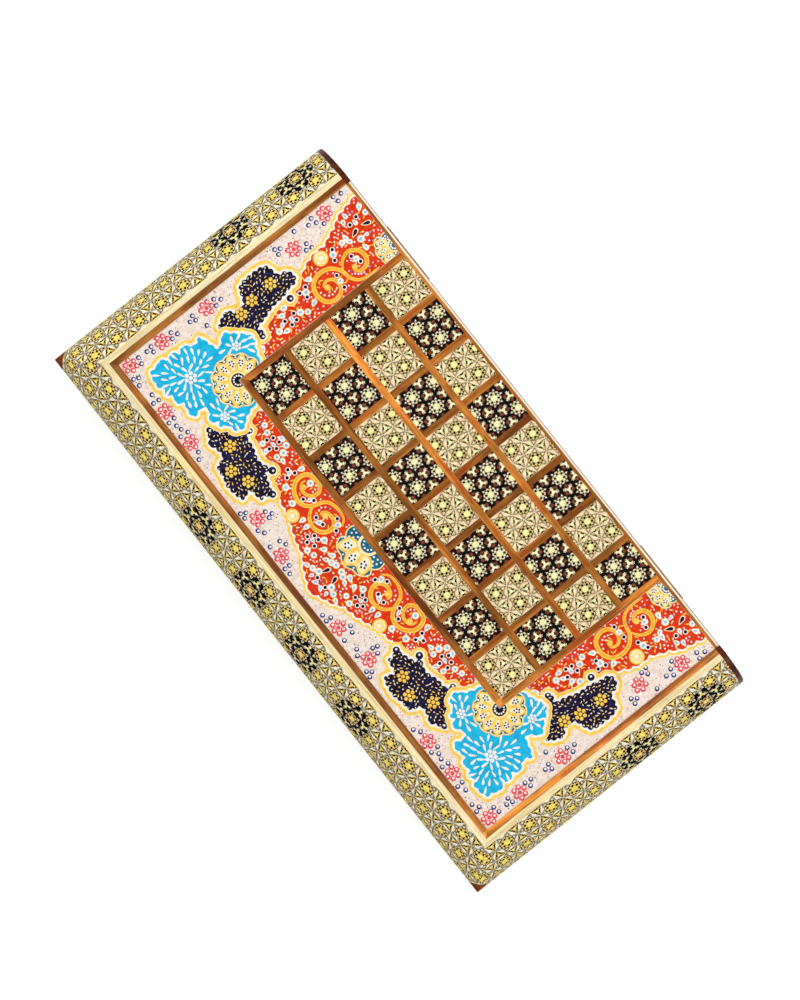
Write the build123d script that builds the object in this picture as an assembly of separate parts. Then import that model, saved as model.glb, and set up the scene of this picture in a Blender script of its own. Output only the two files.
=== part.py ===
from build123d import *
import math
import os

# A folding backgammon and chess board: two equal trays hinged along one long side.
# X runs along the hinge, +Y points to the hinge side and +Z up, with the board closed.
# The origin is the centre of the underside. All sizes are millimetres.

# Each half, and the slit between the two mouths when the board is closed
board_length = 500.0
half_depth = 250.0
half_height = 42.0
parting_gap = 0.4

# Bull-nose rim: inlaid veneer, then a pale slip, then a sloping walnut slip
rim_width = 27.3
rim_veneer = 1.6
ivory_width = 4.8
slip_width = 4.7
panel_recess = 2.5
slip_lip = 0.5

# Timber under the veneers
rail_width = 31.0
hinge_rail_width = 12.0
base_thickness = 6.0
end_cap_thickness = 4.2
lipping_arris = 1.5
cap_arris = 1.2

# Walnut caps at the two outer corners: how far they reach along a side and in over the mitre
cap_leg = 10.0
cap_reach = 6.6

# Outer face: painted panel round a chess field of one half board
panel_thickness = 1.5
square = 31.75
grid_line = 5.25
columns = 8
rows = 4

# Inside of each tray
mouth_veneer = 1.2
lining = 1.2
field_veneer = 1.2
points_per_side = 6
point_length = 165.0
point_spacing_gap = 4.0
point_belly = 0.36
medallion_radius = 28.0

# Brass butt hinges in the mouths of the hinge rails; the inset is from a board end to a hinge's middle
hinge_inset = 100.0
hinge_length = 50.0
knuckle_count = 5
knuckle_radius = 3.0
knuckle_end_gap = 0.2
leaf_thickness = 1.2
leaf_width = 11.0
pin_radius = 1.25
pin_running_fit = 0.05
pin_offset = 0.4
knuckle_relief = 0.35
mortise_clearance = 0.1

# Countersunk brass screws of the hinge leaves
screw_pitch = 17.5
screw_setback = 6.5
screw_head_radius = 2.2
screw_shank_radius = 1.1
screw_length = 9.0
screw_tip = 2.5
screw_slot_width = 0.6
screw_slot_depth = 0.5

# Levels of one half, counted from its mouth towards its outer face
panel_level = half_height - panel_recess
board_top = panel_level - panel_thickness
board_bottom = board_top - base_thickness

# Places in plan
half_length = board_length / 2
hinge_proud = pin_offset + knuckle_radius
front_y = -(half_depth + hinge_proud) / 2
hinge_y = front_y + half_depth
lipping_y = hinge_y - end_cap_thickness
axis_y = hinge_y + pin_offset
axis_z = half_height + parting_gap / 2
hinge_places = (hinge_inset - half_length, half_length - hinge_inset)
panel_inset = rim_width + ivory_width + slip_width
grid_pitch = square + grid_line
grid_half_width = (columns * grid_pitch + grid_line) / 2
grid_front_y = lipping_y - rows * grid_pitch
cavity_inset = rail_width + lining
cavity_half_length = half_length - cavity_inset
cavity_front_y = front_y + cavity_inset
cavity_hinge_y = hinge_y - hinge_rail_width - lining

# The rim's outside is an arc that stands upright at the mouth and meets the pale slip at the top
rim_radius = (rim_width**2 + half_height**2) / (2 * rim_width)

SIDES = ("front", "left", "right")


def block(x0, x1, y0, y1, z0, z1):
    """A box between two corners."""
    return Pos((x0 + x1) / 2, (y0 + y1) / 2, (z0 + z1) / 2) * Box(x1 - x0, y1 - y0, z1 - z0)


def strip(d0, d1, z0, z1):
    """A rectangle of a rim section: d counts in from the outer edge, z up from the mouth."""
    return Pos((d0 + d1) / 2, (z0 + z1) / 2) * Rectangle(d1 - d0, z1 - z0)


def rim_disc(inset):
    """The disc inside the rim's arc, drawn in by inset."""
    return Pos(rim_radius, 0) * Circle(rim_radius - inset)


def polygon(points):
    """A flat face with straight edges."""
    return make_face(Polyline(*points, close=True))


def prism(points, z0, z1):
    """An upright prism over a plan outline."""
    return Pos(0, 0, z0) * extrude(polygon(points), z1 - z0)


def left_to_right(shape):
    """The same piece on the other short side."""
    return mirror(shape, Plane.YZ)


def mitre_front():
    """The space that belongs to the front side, up to the mitres."""
    reach = half_depth / 2
    plan = [
        (-half_length, front_y),
        (half_length, front_y),
        (half_length - reach, front_y + reach),
        (-half_length + reach, front_y + reach),
    ]
    return prism(plan, -half_height, 2 * half_height)


def mitre_left():
    """The space that belongs to the left side, up to the front mitre."""
    reach = half_depth / 2
    plan = [
        (-half_length, front_y),
        (-half_length + reach, front_y + reach),
        (-half_length + reach, hinge_y),
        (-half_length, hinge_y),
    ]
    return prism(plan, -half_height, 2 * half_height)


def run(section, side, end_y):
    """A rim section carried along one side, mitred at the front corners."""
    if side == "front":
        plane = Plane((-half_length, front_y, 0), x_dir=(0, 1, 0), z_dir=(1, 0, 0))
        return extrude(plane * section, board_length) & mitre_front()
    plane = Plane((-half_length, end_y, 0), x_dir=(1, 0, 0), z_dir=(0, -1, 0))
    piece = extrude(plane * section, end_y - front_y) & mitre_left()
    return piece if side == "left" else left_to_right(piece)


def run_all(section, end_y):
    """The same section along the front and both short sides."""
    return [run(section, side, end_y) for side in SIDES]


def rail_section():
    """Solid rail: bull-nose outside, flat inside, with a ledge that carries the base board."""
    body = strip(0, rail_width, mouth_veneer, half_height)
    rebate = strip(rim_width, rail_width, board_bottom, half_height)
    return (body - rebate) & rim_disc(rim_veneer)


def khatam_section():
    """Inlaid veneer over the whole bull-nose."""
    return (strip(0, rim_width, 0, half_height) & rim_disc(0)) - rim_disc(rim_veneer)


def ivory_section():
    """Pale slip with the flat top that the board rests on."""
    return strip(rim_width, rim_width + ivory_width, board_top, half_height)


def slip_section():
    """Walnut slip that slopes from the pale slip down to the painted panel."""
    outer = rim_width + ivory_width
    return polygon(
        [
            (outer, board_top),
            (panel_inset, board_top),
            (panel_inset, panel_level + slip_lip),
            (outer, half_height),
        ]
    )


def mouth_section():
    """Flat veneer on the rail's mouth, inside the rim veneer."""
    return strip(0, rail_width, 0, mouth_veneer) & rim_disc(rim_veneer)


def lining_section():
    """Thin lining on the inside of the rail."""
    return strip(rail_width, cavity_inset, 0, board_bottom)


def end_cap_section():
    """The whole rim outline, which the walnut cap at the hinge end covers."""
    nose = strip(0, rim_width, 0, half_height) & rim_disc(0)
    foot = strip(rim_width, rail_width, 0, board_bottom)
    shoulder = strip(rim_width, panel_inset, board_bottom, board_top)
    return nose + foot + shoulder + ivory_section() + slip_section()


def corner_block():
    """Everything outside the slanting cut that parts the left corner cap from the veneers."""
    apex_height = math.sqrt(rim_radius**2 - (rim_radius - cap_reach) ** 2)
    along_front = Vector(-half_length + cap_leg, front_y, 0)
    along_side = Vector(-half_length, front_y + cap_leg, 0)
    apex = Vector(-half_length + cap_reach, front_y + cap_reach, apex_height)
    outward = (apex - along_side).cross(along_front - along_side)
    if outward.X > 0:
        outward = -outward
    size = 2 * half_height
    cut = Plane(along_front, z_dir=outward)
    return cut * Box(size, size, size, align=(Align.CENTER, Align.CENTER, Align.MIN))


def khatam_rims():
    """Rim veneers of the three sides, and the two corner caps cut from their corners."""
    whole = {side: run(khatam_section(), side, lipping_y) for side in SIDES}
    left_block = corner_block()
    right_block = left_to_right(left_block)
    rims = {
        "front": whole["front"] - left_block - right_block,
        "left": whole["left"] - left_block,
        "right": whole["right"] - right_block,
    }
    left_cap = (whole["front"] & left_block) + (whole["left"] & left_block)
    return rims, [left_cap, left_to_right(left_cap)]


def end_caps():
    """Walnut plates on the hinge ends of the two short rims, with an eased outer arris."""
    plane = Plane((-half_length, hinge_y, 0), x_dir=(1, 0, 0), z_dir=(0, -1, 0))
    cap = extrude(plane * end_cap_section(), end_cap_thickness)
    nose = [edge for edge in cap.edges().filter_by(GeomType.CIRCLE) if edge.center().Y > hinge_y - 0.01]
    cap = fillet(nose, cap_arris)
    return [cap, left_to_right(cap)]


def base_board():
    """Plywood board on the rails' ledges: it carries the outer face and the playing field."""
    reach = half_length - rim_width
    return block(-reach, reach, front_y + rim_width, lipping_y, board_bottom, board_top)


def hinge_rail():
    """Rail on the hinge side, cut away for the hinge leaves and the screws."""
    reach = half_length - rail_width
    rail = block(-reach, reach, hinge_y - hinge_rail_width, hinge_y, 0, board_bottom)
    for place in hinge_places:
        half = hinge_length / 2 + mortise_clearance
        rail -= block(
            place - half,
            place + half,
            axis_y - leaf_width - mortise_clearance,
            hinge_y,
            0,
            leaf_thickness,
        )
        relief = Cylinder(knuckle_radius + knuckle_relief, 2 * half)
        rail -= Pos(place, axis_y, -parting_gap / 2) * Rot(0, 90, 0) * relief
        for piece in screws(place):
            rail -= piece
    return rail


def hinge_lipping():
    """Walnut strip that closes the base board's edge along the hinge side."""
    reach = half_length - panel_inset
    strip_piece = block(-reach, reach, lipping_y, hinge_y, board_bottom, panel_level)
    arris = strip_piece.edges().filter_by(Axis.X).sort_by(lambda e: e.center().Y + e.center().Z)[-1]
    return fillet(arris, lipping_arris)


def painted_panel():
    """Painted border round the chess field, open towards the hinge side."""
    reach = half_length - panel_inset
    sheet = block(-reach, reach, front_y + panel_inset, lipping_y, board_top, panel_level)
    field = block(-grid_half_width, grid_half_width, grid_front_y, lipping_y, board_top, panel_level)
    return sheet - field


def grid_border():
    """Walnut border of the chess field: two long sides' ends and the front."""
    inner = grid_half_width - grid_line
    front_end = grid_front_y + grid_line
    left = block(-grid_half_width, -inner, grid_front_y, lipping_y, board_top, panel_level)
    front = block(-inner, inner, grid_front_y, front_end, board_top, panel_level)
    return [left, left_to_right(left), front]


def square_corner(column, row):
    """The left front corner of a square, counted from the left and from the hinge side."""
    x = -grid_half_width + grid_line + column * grid_pitch
    y = lipping_y - row * grid_pitch - square
    return x, y


def grid_long_strips():
    """Walnut lines between the rows, in one piece each."""
    inner = grid_half_width - grid_line
    strips = []
    for row in range(1, rows):
        y = lipping_y - row * grid_pitch
        strips.append(block(-inner, inner, y, y + grid_line, board_top, panel_level))
    return strips


def grid_cross_strips():
    """Short walnut lines between the squares of a row."""
    strips = []
    for row in range(rows):
        for column in range(1, columns):
            x, y = square_corner(column, row)
            strips.append(block(x - grid_line, x, y, y + square, board_top, panel_level))
    return strips


def chess_squares(parity):
    """The squares of one colour: parity 0 is light, and the one at the hinge's left end is light."""
    squares = []
    for row in range(rows):
        for column in range(columns):
            if (row + column) % 2 == parity:
                x, y = square_corner(column, row)
                squares.append(block(x, x + square, y, y + square, board_top, panel_level))
    return squares


def point_shape(place):
    """A lancet point from the left wall, in the veneer of the playing field."""
    pitch = (cavity_hinge_y - cavity_front_y) / points_per_side
    middle = cavity_hinge_y - (place + 0.5) * pitch
    half = (pitch - point_spacing_gap) / 2
    root = -cavity_half_length
    belly = 2 * half * point_belly
    tip = (root + point_length, middle)
    lower = ThreePointArc((root, middle - half), (root + point_length / 2, middle - belly), tip)
    upper = ThreePointArc(tip, (root + point_length / 2, middle + belly), (root, middle + half))
    base = Line((root, middle + half), (root, middle - half))
    face = make_face([lower, upper, base])
    return Pos(0, 0, board_bottom - field_veneer) * extrude(face, field_veneer)


def field_points(parity):
    """Points of one colour: they alternate along each wall, and facing points differ."""
    points = []
    for place in range(points_per_side):
        if place % 2 == parity:
            points.append(point_shape(place))
        else:
            points.append(left_to_right(point_shape(place)))
    return points


def medallion():
    """Round inlay in the middle of the playing field."""
    centre_y = (cavity_front_y + cavity_hinge_y) / 2
    centre_z = board_bottom - field_veneer / 2
    return Pos(0, centre_y, centre_z) * Cylinder(medallion_radius, field_veneer)


def field_ground():
    """Walnut ground of the playing field, with the inlays cut out of it."""
    ground = block(
        -cavity_half_length,
        cavity_half_length,
        cavity_front_y,
        cavity_hinge_y,
        board_bottom - field_veneer,
        board_bottom,
    )
    for inlay in field_points(0) + field_points(1) + [medallion()]:
        ground -= inlay
    return ground


def wall_linings():
    """Thin linings of the four inner walls."""
    sides = run_all(lining_section(), hinge_y - hinge_rail_width)
    hinge_side = block(
        -cavity_half_length,
        cavity_half_length,
        cavity_hinge_y,
        hinge_y - hinge_rail_width,
        0,
        board_bottom,
    )
    return sides + [hinge_side]


def screw():
    """A countersunk slotted wood screw: head at the origin, point along +Z."""
    head_height = screw_head_radius - screw_shank_radius
    half_outline = [
        (0, 0),
        (screw_head_radius, 0),
        (screw_shank_radius, head_height),
        (screw_shank_radius, screw_length - screw_tip),
        (0, screw_length),
    ]
    return revolve(Plane.XZ * polygon(half_outline), Axis.Z)


def screws(place):
    """The three screws of one leaf, driven in from the mouth of a half."""
    y = hinge_y - screw_setback
    return [Pos(place + step * screw_pitch, y, 0) * screw() for step in (-1, 0, 1)]


def hinge_screws():
    """All screws of one half, with slotted heads."""
    slot = Box(3 * screw_head_radius, screw_slot_width, 2 * screw_slot_depth)
    slotted = []
    for place in hinge_places:
        for step, piece in zip((-1, 0, 1), screws(place)):
            spot = Pos(place + step * screw_pitch, hinge_y - screw_setback, 0)
            slotted.append(piece - spot * slot)
    return slotted


def on_axis(radius, x0, x1):
    """A round bar along the hinge axis."""
    bar = Cylinder(radius, x1 - x0)
    return Pos((x0 + x1) / 2, axis_y, axis_z) * Rot(0, 90, 0) * bar


def leaf(place, half):
    """A hinge leaf of one half, closed: its plate, its knuckles and its screw holes."""
    if half == "lower":
        plate_low, plate_high = half_height - leaf_thickness, half_height
        owned = range(0, knuckle_count, 2)
    else:
        plate_low, plate_high = half_height + parting_gap, half_height + parting_gap + leaf_thickness
        owned = range(1, knuckle_count, 2)
    start, end = place - hinge_length / 2, place + hinge_length / 2
    plate = block(start, end, axis_y - leaf_width, axis_y, plate_low, plate_high)
    plate -= on_axis(knuckle_radius + knuckle_relief, start, end)
    length = hinge_length / knuckle_count
    for index in owned:
        x0 = start + index * length + knuckle_end_gap / 2
        x1 = x0 + length - knuckle_end_gap
        plate += block(x0, x1, axis_y - knuckle_radius - 1, axis_y, plate_low, plate_high)
        plate += on_axis(knuckle_radius, x0, x1)
    plate -= on_axis(pin_radius + pin_running_fit, start, end)
    drawn_place = place if half == "upper" else -place
    for piece in screws(drawn_place):
        plate -= place_half(piece, half)
    return plate


def hinge_pin(place):
    """The pin through the five knuckles, as long as the hinge."""
    return on_axis(pin_radius, place - hinge_length / 2, place + hinge_length / 2)


def place_half(shape, half):
    """Puts a piece drawn mouth down at its place: the lower half is the upper one turned over."""
    if half == "upper":
        return Pos(0, 0, half_height + parting_gap) * shape
    return Pos(0, 0, half_height) * Rot(0, 180, 0) * shape


def half_pieces(half):
    """Every piece of one half, named for its place in the closed board."""
    turned = {"front": "front", "left": "right", "right": "left"}
    rims, corner_caps = khatam_rims()
    pieces = {}
    for side in SIDES:
        name = side if half == "upper" else turned[side]
        pieces[f"{half}_{name}_rail"] = [run(rail_section(), side, lipping_y)]
        pieces[f"{half}_{name}_khatam_rim"] = [rims[side]]
    groups = {
        "hinge_rail": [hinge_rail()],
        "base_board": [base_board()],
        "corner_caps": corner_caps,
        "end_caps": end_caps(),
        "ivory_slips": run_all(ivory_section(), lipping_y),
        "walnut_slips": run_all(slip_section(), lipping_y),
        "hinge_lipping": [hinge_lipping()],
        "painted_panel": [painted_panel()],
        "grid_border": grid_border(),
        "grid_long_strips": grid_long_strips(),
        "grid_cross_strips": grid_cross_strips(),
        "light_squares": chess_squares(0),
        "dark_squares": chess_squares(1),
        "mouth_khatam": run_all(mouth_section(), lipping_y),
        "wall_linings": wall_linings(),
        "field_ground": [field_ground()],
        "light_points": field_points(0),
        "dark_points": field_points(1),
        "field_medallion": [medallion()],
        "hinge_screws": hinge_screws(),
    }
    for name, shapes in groups.items():
        pieces[f"{half}_{name}"] = shapes
    return {name: [place_half(s, half) for s in shapes] for name, shapes in pieces.items()}


def hinge_pieces():
    """The two butt hinges, each of two leaves and a pin."""
    pieces = {}
    for side, place in zip(("left", "right"), hinge_places):
        pieces[f"{side}_hinge_lower_leaf"] = [leaf(place, "lower")]
        pieces[f"{side}_hinge_upper_leaf"] = [leaf(place, "upper")]
        pieces[f"{side}_hinge_pin"] = [hinge_pin(place)]
    return pieces


def write_parts(pieces):
    """Writes each node's solids to its own STEP file."""
    os.makedirs("parts", exist_ok=True)
    for name, shapes in pieces.items():
        solids = [solid for shape in shapes for solid in shape.solids()]
        whole = solids[0] if len(solids) == 1 else Compound(solids)
        export_step(whole, f"parts/{name}.step")


write_parts({**half_pieces("lower"), **half_pieces("upper"), **hinge_pieces()})
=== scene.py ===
"""Dresses the folding inlaid board: khatam rims, painted border, chess field, backgammon inside and brass hinges."""

import logging
import math
from dataclasses import dataclass, replace
from enum import Enum
from typing import Optional, Sequence, Union

import bpy
import numpy as np
from mathutils import Euler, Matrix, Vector


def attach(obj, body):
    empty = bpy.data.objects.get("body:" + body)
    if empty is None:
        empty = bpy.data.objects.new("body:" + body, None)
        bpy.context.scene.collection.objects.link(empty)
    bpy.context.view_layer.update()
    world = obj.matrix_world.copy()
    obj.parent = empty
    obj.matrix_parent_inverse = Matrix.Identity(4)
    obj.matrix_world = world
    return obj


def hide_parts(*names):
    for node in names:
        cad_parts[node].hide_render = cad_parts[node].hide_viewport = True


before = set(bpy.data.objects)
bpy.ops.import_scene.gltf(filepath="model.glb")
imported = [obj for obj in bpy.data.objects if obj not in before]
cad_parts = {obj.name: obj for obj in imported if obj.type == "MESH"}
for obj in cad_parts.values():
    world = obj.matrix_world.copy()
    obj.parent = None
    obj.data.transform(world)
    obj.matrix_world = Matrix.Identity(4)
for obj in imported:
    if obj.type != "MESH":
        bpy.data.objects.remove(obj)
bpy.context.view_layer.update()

log = logging.getLogger("board")
MM = 0.001
ROOT3 = math.sqrt(3.0)


@dataclass(frozen=True)
class BoardSize:
    """Sizes of the closed board in millimetres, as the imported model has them.

    The paint stops a tenth of a millimetre inside the panel, and runs as far under the chess field's border.
    """

    half_length: float = 250.0
    front_y: float = -126.7
    lipping_y: float = 119.1
    height: float = 84.4
    mouth: float = 42.4
    half_height: float = 42.0
    rim_width: float = 27.3
    rim_veneer: float = 1.6
    panel_level: float = 81.9
    square_pitch: float = 37.0
    first_column: float = -129.5
    first_row: float = -7.775
    square: float = 31.75
    paint_half_width: float = 213.1
    paint_front: float = -89.8
    paint_back: float = 119.0
    field_half_width: float = 150.75
    field_front: float = -29.0

    @property
    def rim_radius(self) -> float:
        """Radius of the bull nose, whose arc stands upright at the mouth."""
        return (self.rim_width**2 + self.half_height**2) / (2 * self.rim_width)


SIZE = BoardSize()


class Half(Enum):
    """The two trays of the board."""

    UPPER = "upper"
    LOWER = "lower"

    @property
    def body(self) -> str:
        """Name of the body that this half's pieces ride on."""
        return f"{self.value}_half"

    def seat(self, points: np.ndarray) -> np.ndarray:
        """Brings points of the upper half to this half; the lower one is the upper one turned over about Y.

        Args:
            points: Places on the upper half in millimetres, three columns.

        Returns:
            The same places on this half in metres.
        """
        if self is Half.LOWER:
            points = np.array([0.0, 0.0, SIZE.height]) + points * np.array([-1.0, 1.0, -1.0])
        return points * MM


def tone(code: str) -> tuple[float, float, float, float]:
    """Turns a display colour into the linear one that shaders use.

    Args:
        code: Six hexadecimal digits, red, green and blue.

    Returns:
        Linear red, green, blue and a full alpha.
    """
    shown = np.array([int(code[i : i + 2], 16) for i in (0, 2, 4)]) / 255.0
    linear = np.where(shown <= 0.04045, shown / 12.92, ((shown + 0.055) / 1.055) ** 2.4)
    return (float(linear[0]), float(linear[1]), float(linear[2]), 1.0)


class Solid:
    """Gathers the closed shells of one piece and turns them into one mesh object."""

    def __init__(self, name: str) -> None:
        """Starts an empty piece of that name."""
        self.name = name
        self.points: list[np.ndarray] = []
        self.faces: list[list[int]] = []
        self.maps: dict[str, list[np.ndarray]] = {}
        self.count = 0

    def add(self, points: np.ndarray, faces: list[list[int]], maps: Optional[dict[str, np.ndarray]] = None) -> None:
        """Adds one closed shell and turns its faces outwards, by the sign of the volume they enclose.

        Args:
            points: Vertices in millimetres, three columns.
            faces: Vertex numbers of each face, all turned the same way.
            maps: UV values of each vertex, by the UV map's name.
        """
        fans = np.array([(f[0], f[i], f[i + 1]) for f in faces for i in range(1, len(f) - 1)])
        a, b, c = (points[fans[:, i]] - points[0] for i in range(3))
        if np.einsum("ij,ij->i", a, np.cross(b, c)).sum() < 0:
            faces = [f[::-1] for f in faces]
        self.faces += [[i + self.count for i in f] for f in faces]
        self.points.append(points)
        for key, values in (maps or {}).items():
            self.maps.setdefault(key, []).append(values)
        self.count += len(points)

    def make(self, half: Half, smooth: bool = False) -> bpy.types.Object:
        """Builds the object in place on its half.

        Args:
            half: The tray that the piece belongs to.
            smooth: Whether faces shade smoothly up to edges of 30 degrees.

        Returns:
            The new object, which rides on the half's body.
        """
        mesh = bpy.data.meshes.new(self.name)
        mesh.from_pydata(half.seat(np.concatenate(self.points)), [], self.faces)
        corners = np.zeros(len(mesh.loops), np.int32)
        mesh.loops.foreach_get("vertex_index", corners)
        for key, values in self.maps.items():
            layer = mesh.uv_layers.new(name=key)
            layer.uv.foreach_set("vector", np.concatenate(values)[corners].astype(np.float32).ravel())
        if smooth:
            mesh.polygons.foreach_set("use_smooth", np.ones(len(mesh.polygons), bool))
            mesh.set_sharp_from_angle(angle=math.radians(30.0))
        mesh.update()
        piece = bpy.data.objects.new(self.name, mesh)
        bpy.context.scene.collection.objects.link(piece)
        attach(piece, half.body)
        return piece


def shell_between(outer: np.ndarray, inner: np.ndarray) -> tuple[np.ndarray, list[list[int]]]:
    """Closes the space between two surface grids of the same size with walls along their borders.

    Args:
        outer: Grid of points, rows by columns by three.
        inner: The matching grid underneath.

    Returns:
        All points and the faces of the closed shell.
    """
    rows, columns = outer.shape[:2]
    number = np.arange(rows * columns).reshape(rows, columns)
    top = np.stack([number[:-1, :-1], number[1:, :-1], number[1:, 1:], number[:-1, 1:]], -1).reshape(-1, 4)
    edge = np.concatenate([number[0, :-1], number[:-1, -1], number[-1, :0:-1], number[:0:-1, 0]])
    after = np.roll(edge, -1)
    under = rows * columns
    walls = np.stack([edge, after, after + under, edge + under], -1)
    points = np.concatenate([outer.reshape(-1, 3), inner.reshape(-1, 3)])
    return points, np.concatenate([top, top[:, ::-1] + under, walls]).tolist()


Wire = Union["Signal", float, int, Sequence[float]]


class Signal:
    """One output in a shader tree; arithmetic on it adds Math nodes."""

    def __init__(self, graph: "Graph", socket: bpy.types.NodeSocket) -> None:
        """Keeps the tree and the output socket."""
        self.graph = graph
        self.socket = socket

    def __add__(self, other: Wire) -> "Signal":
        """This value plus another."""
        return self.graph.math("ADD", self, other)

    def __sub__(self, other: Wire) -> "Signal":
        """This value less another."""
        return self.graph.math("SUBTRACT", self, other)

    def __rsub__(self, other: Wire) -> "Signal":
        """Another value less this one."""
        return self.graph.math("SUBTRACT", other, self)

    def __mul__(self, other: Wire) -> "Signal":
        """This value times another."""
        return self.graph.math("MULTIPLY", self, other)

    def __lt__(self, other: Wire) -> "Signal":
        """1 where this value is less than the other, else 0."""
        return self.graph.math("LESS_THAN", self, other)

    def __gt__(self, other: Wire) -> "Signal":
        """1 where this value is more than the other, else 0."""
        return self.graph.math("GREATER_THAN", self, other)

    __radd__ = __add__
    __rmul__ = __mul__


class Graph:
    """Adds nodes to one shader tree and wires them as it goes."""

    def __init__(self, tree: bpy.types.NodeTree) -> None:
        """Works on that tree."""
        self.tree = tree

    def put(self, socket: bpy.types.NodeSocket, value: Wire) -> None:
        """Links a signal to an input, or sets its plain value."""
        if isinstance(value, Signal):
            self.tree.links.new(value.socket, socket)
        else:
            socket.default_value = value

    def node(
        self, kind: str, inputs: Optional[dict[Union[int, str], Wire]] = None, **settings: object
    ) -> bpy.types.Node:
        """Adds a node.

        Args:
            kind: The node's type name without its Shader prefix.
            inputs: What goes into its inputs, by name or number.
            settings: Properties set on the node itself.

        Returns:
            The node.
        """
        made = self.tree.nodes.new("ShaderNode" + kind)
        for key, value in settings.items():
            setattr(made, key, value)
        for key, value in (inputs or {}).items():
            self.put(made.inputs[key], value)
        return made

    def out(self, node: bpy.types.Node, key: Union[int, str] = 0) -> Signal:
        """One output of a node as a signal."""
        return Signal(self, node.outputs[key])

    def math(self, operation: str, *values: Wire) -> Signal:
        """The result of one Math node on up to three values."""
        return self.out(self.node("Math", dict(enumerate(values)), operation=operation))

    def mix(self, mask: Wire, low: Wire, high: Wire, blend: str = "MIX") -> Signal:
        """Blends two colours by a mask."""
        made = self.node("Mix", {0: mask, 6: low, 7: high}, data_type="RGBA", blend_type=blend)
        return self.out(made, 2)

    def split(self, vector: Signal) -> tuple[Signal, ...]:
        """The three parts of a vector."""
        made = self.node("SeparateXYZ", {0: vector})
        return tuple(self.out(made, part) for part in range(3))

    def join(self, x: Wire, y: Wire, z: Wire = 0.0) -> Signal:
        """A vector of three values."""
        return self.out(self.node("CombineXYZ", {0: x, 1: y, 2: z}))

    def noise(self, vector: Signal, scale: float, detail: float = 3.0, rough: float = 0.5, warp: float = 0.0) -> Signal:
        """Fractal noise from 0 to 1 over a vector."""
        inputs = {"Vector": vector, "Scale": scale, "Detail": detail, "Roughness": rough, "Distortion": warp}
        return self.out(self.node("TexNoise", inputs))

    def spread(self, value: Signal, low: float, high: float, to_low: float = 0.0, to_high: float = 1.0) -> Signal:
        """Stretches a range of values over another and clamps it, with soft ends."""
        inputs = {0: value, 1: low, 2: high, 3: to_low, 4: to_high}
        return self.out(self.node("MapRange", inputs, interpolation_type="SMOOTHSTEP"))

    def chance(self, vector: Signal) -> Signal:
        """A random value from 0 to 1 for each value of a vector."""
        return self.out(self.node("TexWhiteNoise", {"Vector": vector}, noise_dimensions="3D"))

    def shade(self, colour: Wire, value: Wire) -> Signal:
        """A colour times a value."""
        return self.mix(1.0, colour, self.join(value, value, value), "MULTIPLY")

    def between(self, value: Signal, low: float, high: float) -> Signal:
        """1 where a value lies between two others, else 0."""
        return (value > low) * (value < high)

    def place(self) -> Signal:
        """Object coordinates in metres."""
        return self.out(self.node("TexCoord"), "Object")

    def group(self, group: bpy.types.NodeTree, inputs: dict[str, Wire]) -> bpy.types.Node:
        """Places a node group.

        Args:
            group: The group.
            inputs: What goes into its inputs, by name.

        Returns:
            The group's node.
        """
        made = self.tree.nodes.new("ShaderNodeGroup")
        made.node_tree = group
        for key, value in inputs.items():
            self.put(made.inputs[key], value)
        return made


SOCKETS = {"value": "NodeSocketFloat", "vector": "NodeSocketVector", "colour": "NodeSocketColor"}


class Recipe:
    """A shader node group under construction, with named inputs and outputs."""

    def __init__(self, name: str, inputs: dict[str, str], outputs: dict[str, str]) -> None:
        """Makes the group and its sockets.

        Args:
            name: The group's name.
            inputs: For each input, whether it is a value, a vector or a colour.
            outputs: The same for each output.
        """
        self.tree = bpy.data.node_groups.new(name, "ShaderNodeTree")
        for label, kind in inputs.items():
            self.tree.interface.new_socket(name=label, in_out="INPUT", socket_type=SOCKETS[kind])
        for label, kind in outputs.items():
            self.tree.interface.new_socket(name=label, in_out="OUTPUT", socket_type=SOCKETS[kind])
        self.graph = Graph(self.tree)
        self.entry = self.tree.nodes.new("NodeGroupInput")
        self.exit = self.tree.nodes.new("NodeGroupOutput")

    def given(self, label: str) -> Signal:
        """One of the group's inputs."""
        return self.graph.out(self.entry, label)

    def give(self, label: str, value: Wire) -> None:
        """Sends a signal to one of the group's outputs."""
        self.graph.put(self.exit.inputs[label], value)


@dataclass(frozen=True)
class StarShape:
    """Shapes of one khatam star on the scale of 19.5 mm between stars, counted from its middle.

    Across runs towards the middle of a triangle between stars, and out runs along a ray. Discs give their
    place across, their place to the side, and their radius. Stitches, beads and dashes break up dark lines:
    a wave's turn for each unit of length, and the level above which the line shows.
    """

    pitch: float = 19.5
    hexagon: float = 2.35
    hexagon_line: float = 2.7
    ring: float = 4.9
    ring_line: float = 5.35
    ring_joint: float = 5.1
    ring_dots: tuple[tuple[float, float, float], ...] = ((4.4, 1.5, 0.5), (3.5, 0.0, 0.98))
    core_start: float = 5.6
    taper: float = 0.52
    ray_edge: float = 0.25
    core_edge: float = 0.55
    thread_place: float = 0.98
    thread_end: float = 8.2
    thread_half: float = 0.19
    blunt_tip: float = 8.5
    lozenge: float = 7.7
    lozenge_reach: float = 1.3
    lozenge_slope: float = 0.75
    star_edge: float = 8.5
    border_start: float = 8.42
    border_half: float = 0.46
    border_gap: float = 0.04
    triangle_dot: tuple[float, float, float] = (9.4, 0.0, 1.05)
    corner_dot: float = 9.75
    corner_area: float = 2.1
    heart: float = 11.2
    heart_reach: float = 1.25
    stitches: tuple[float, float] = (6.4, -0.55)
    beads: tuple[float, float] = (5.2, -0.35)
    dashes: tuple[float, float] = (7.5, 0.1)
    joint_half: float = 0.1
    ring_joint_half: float = 0.08
    rod_scale: float = 16.0
    rod_shades: tuple[float, float] = (0.8, 1.08)


STAR = StarShape()


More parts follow.
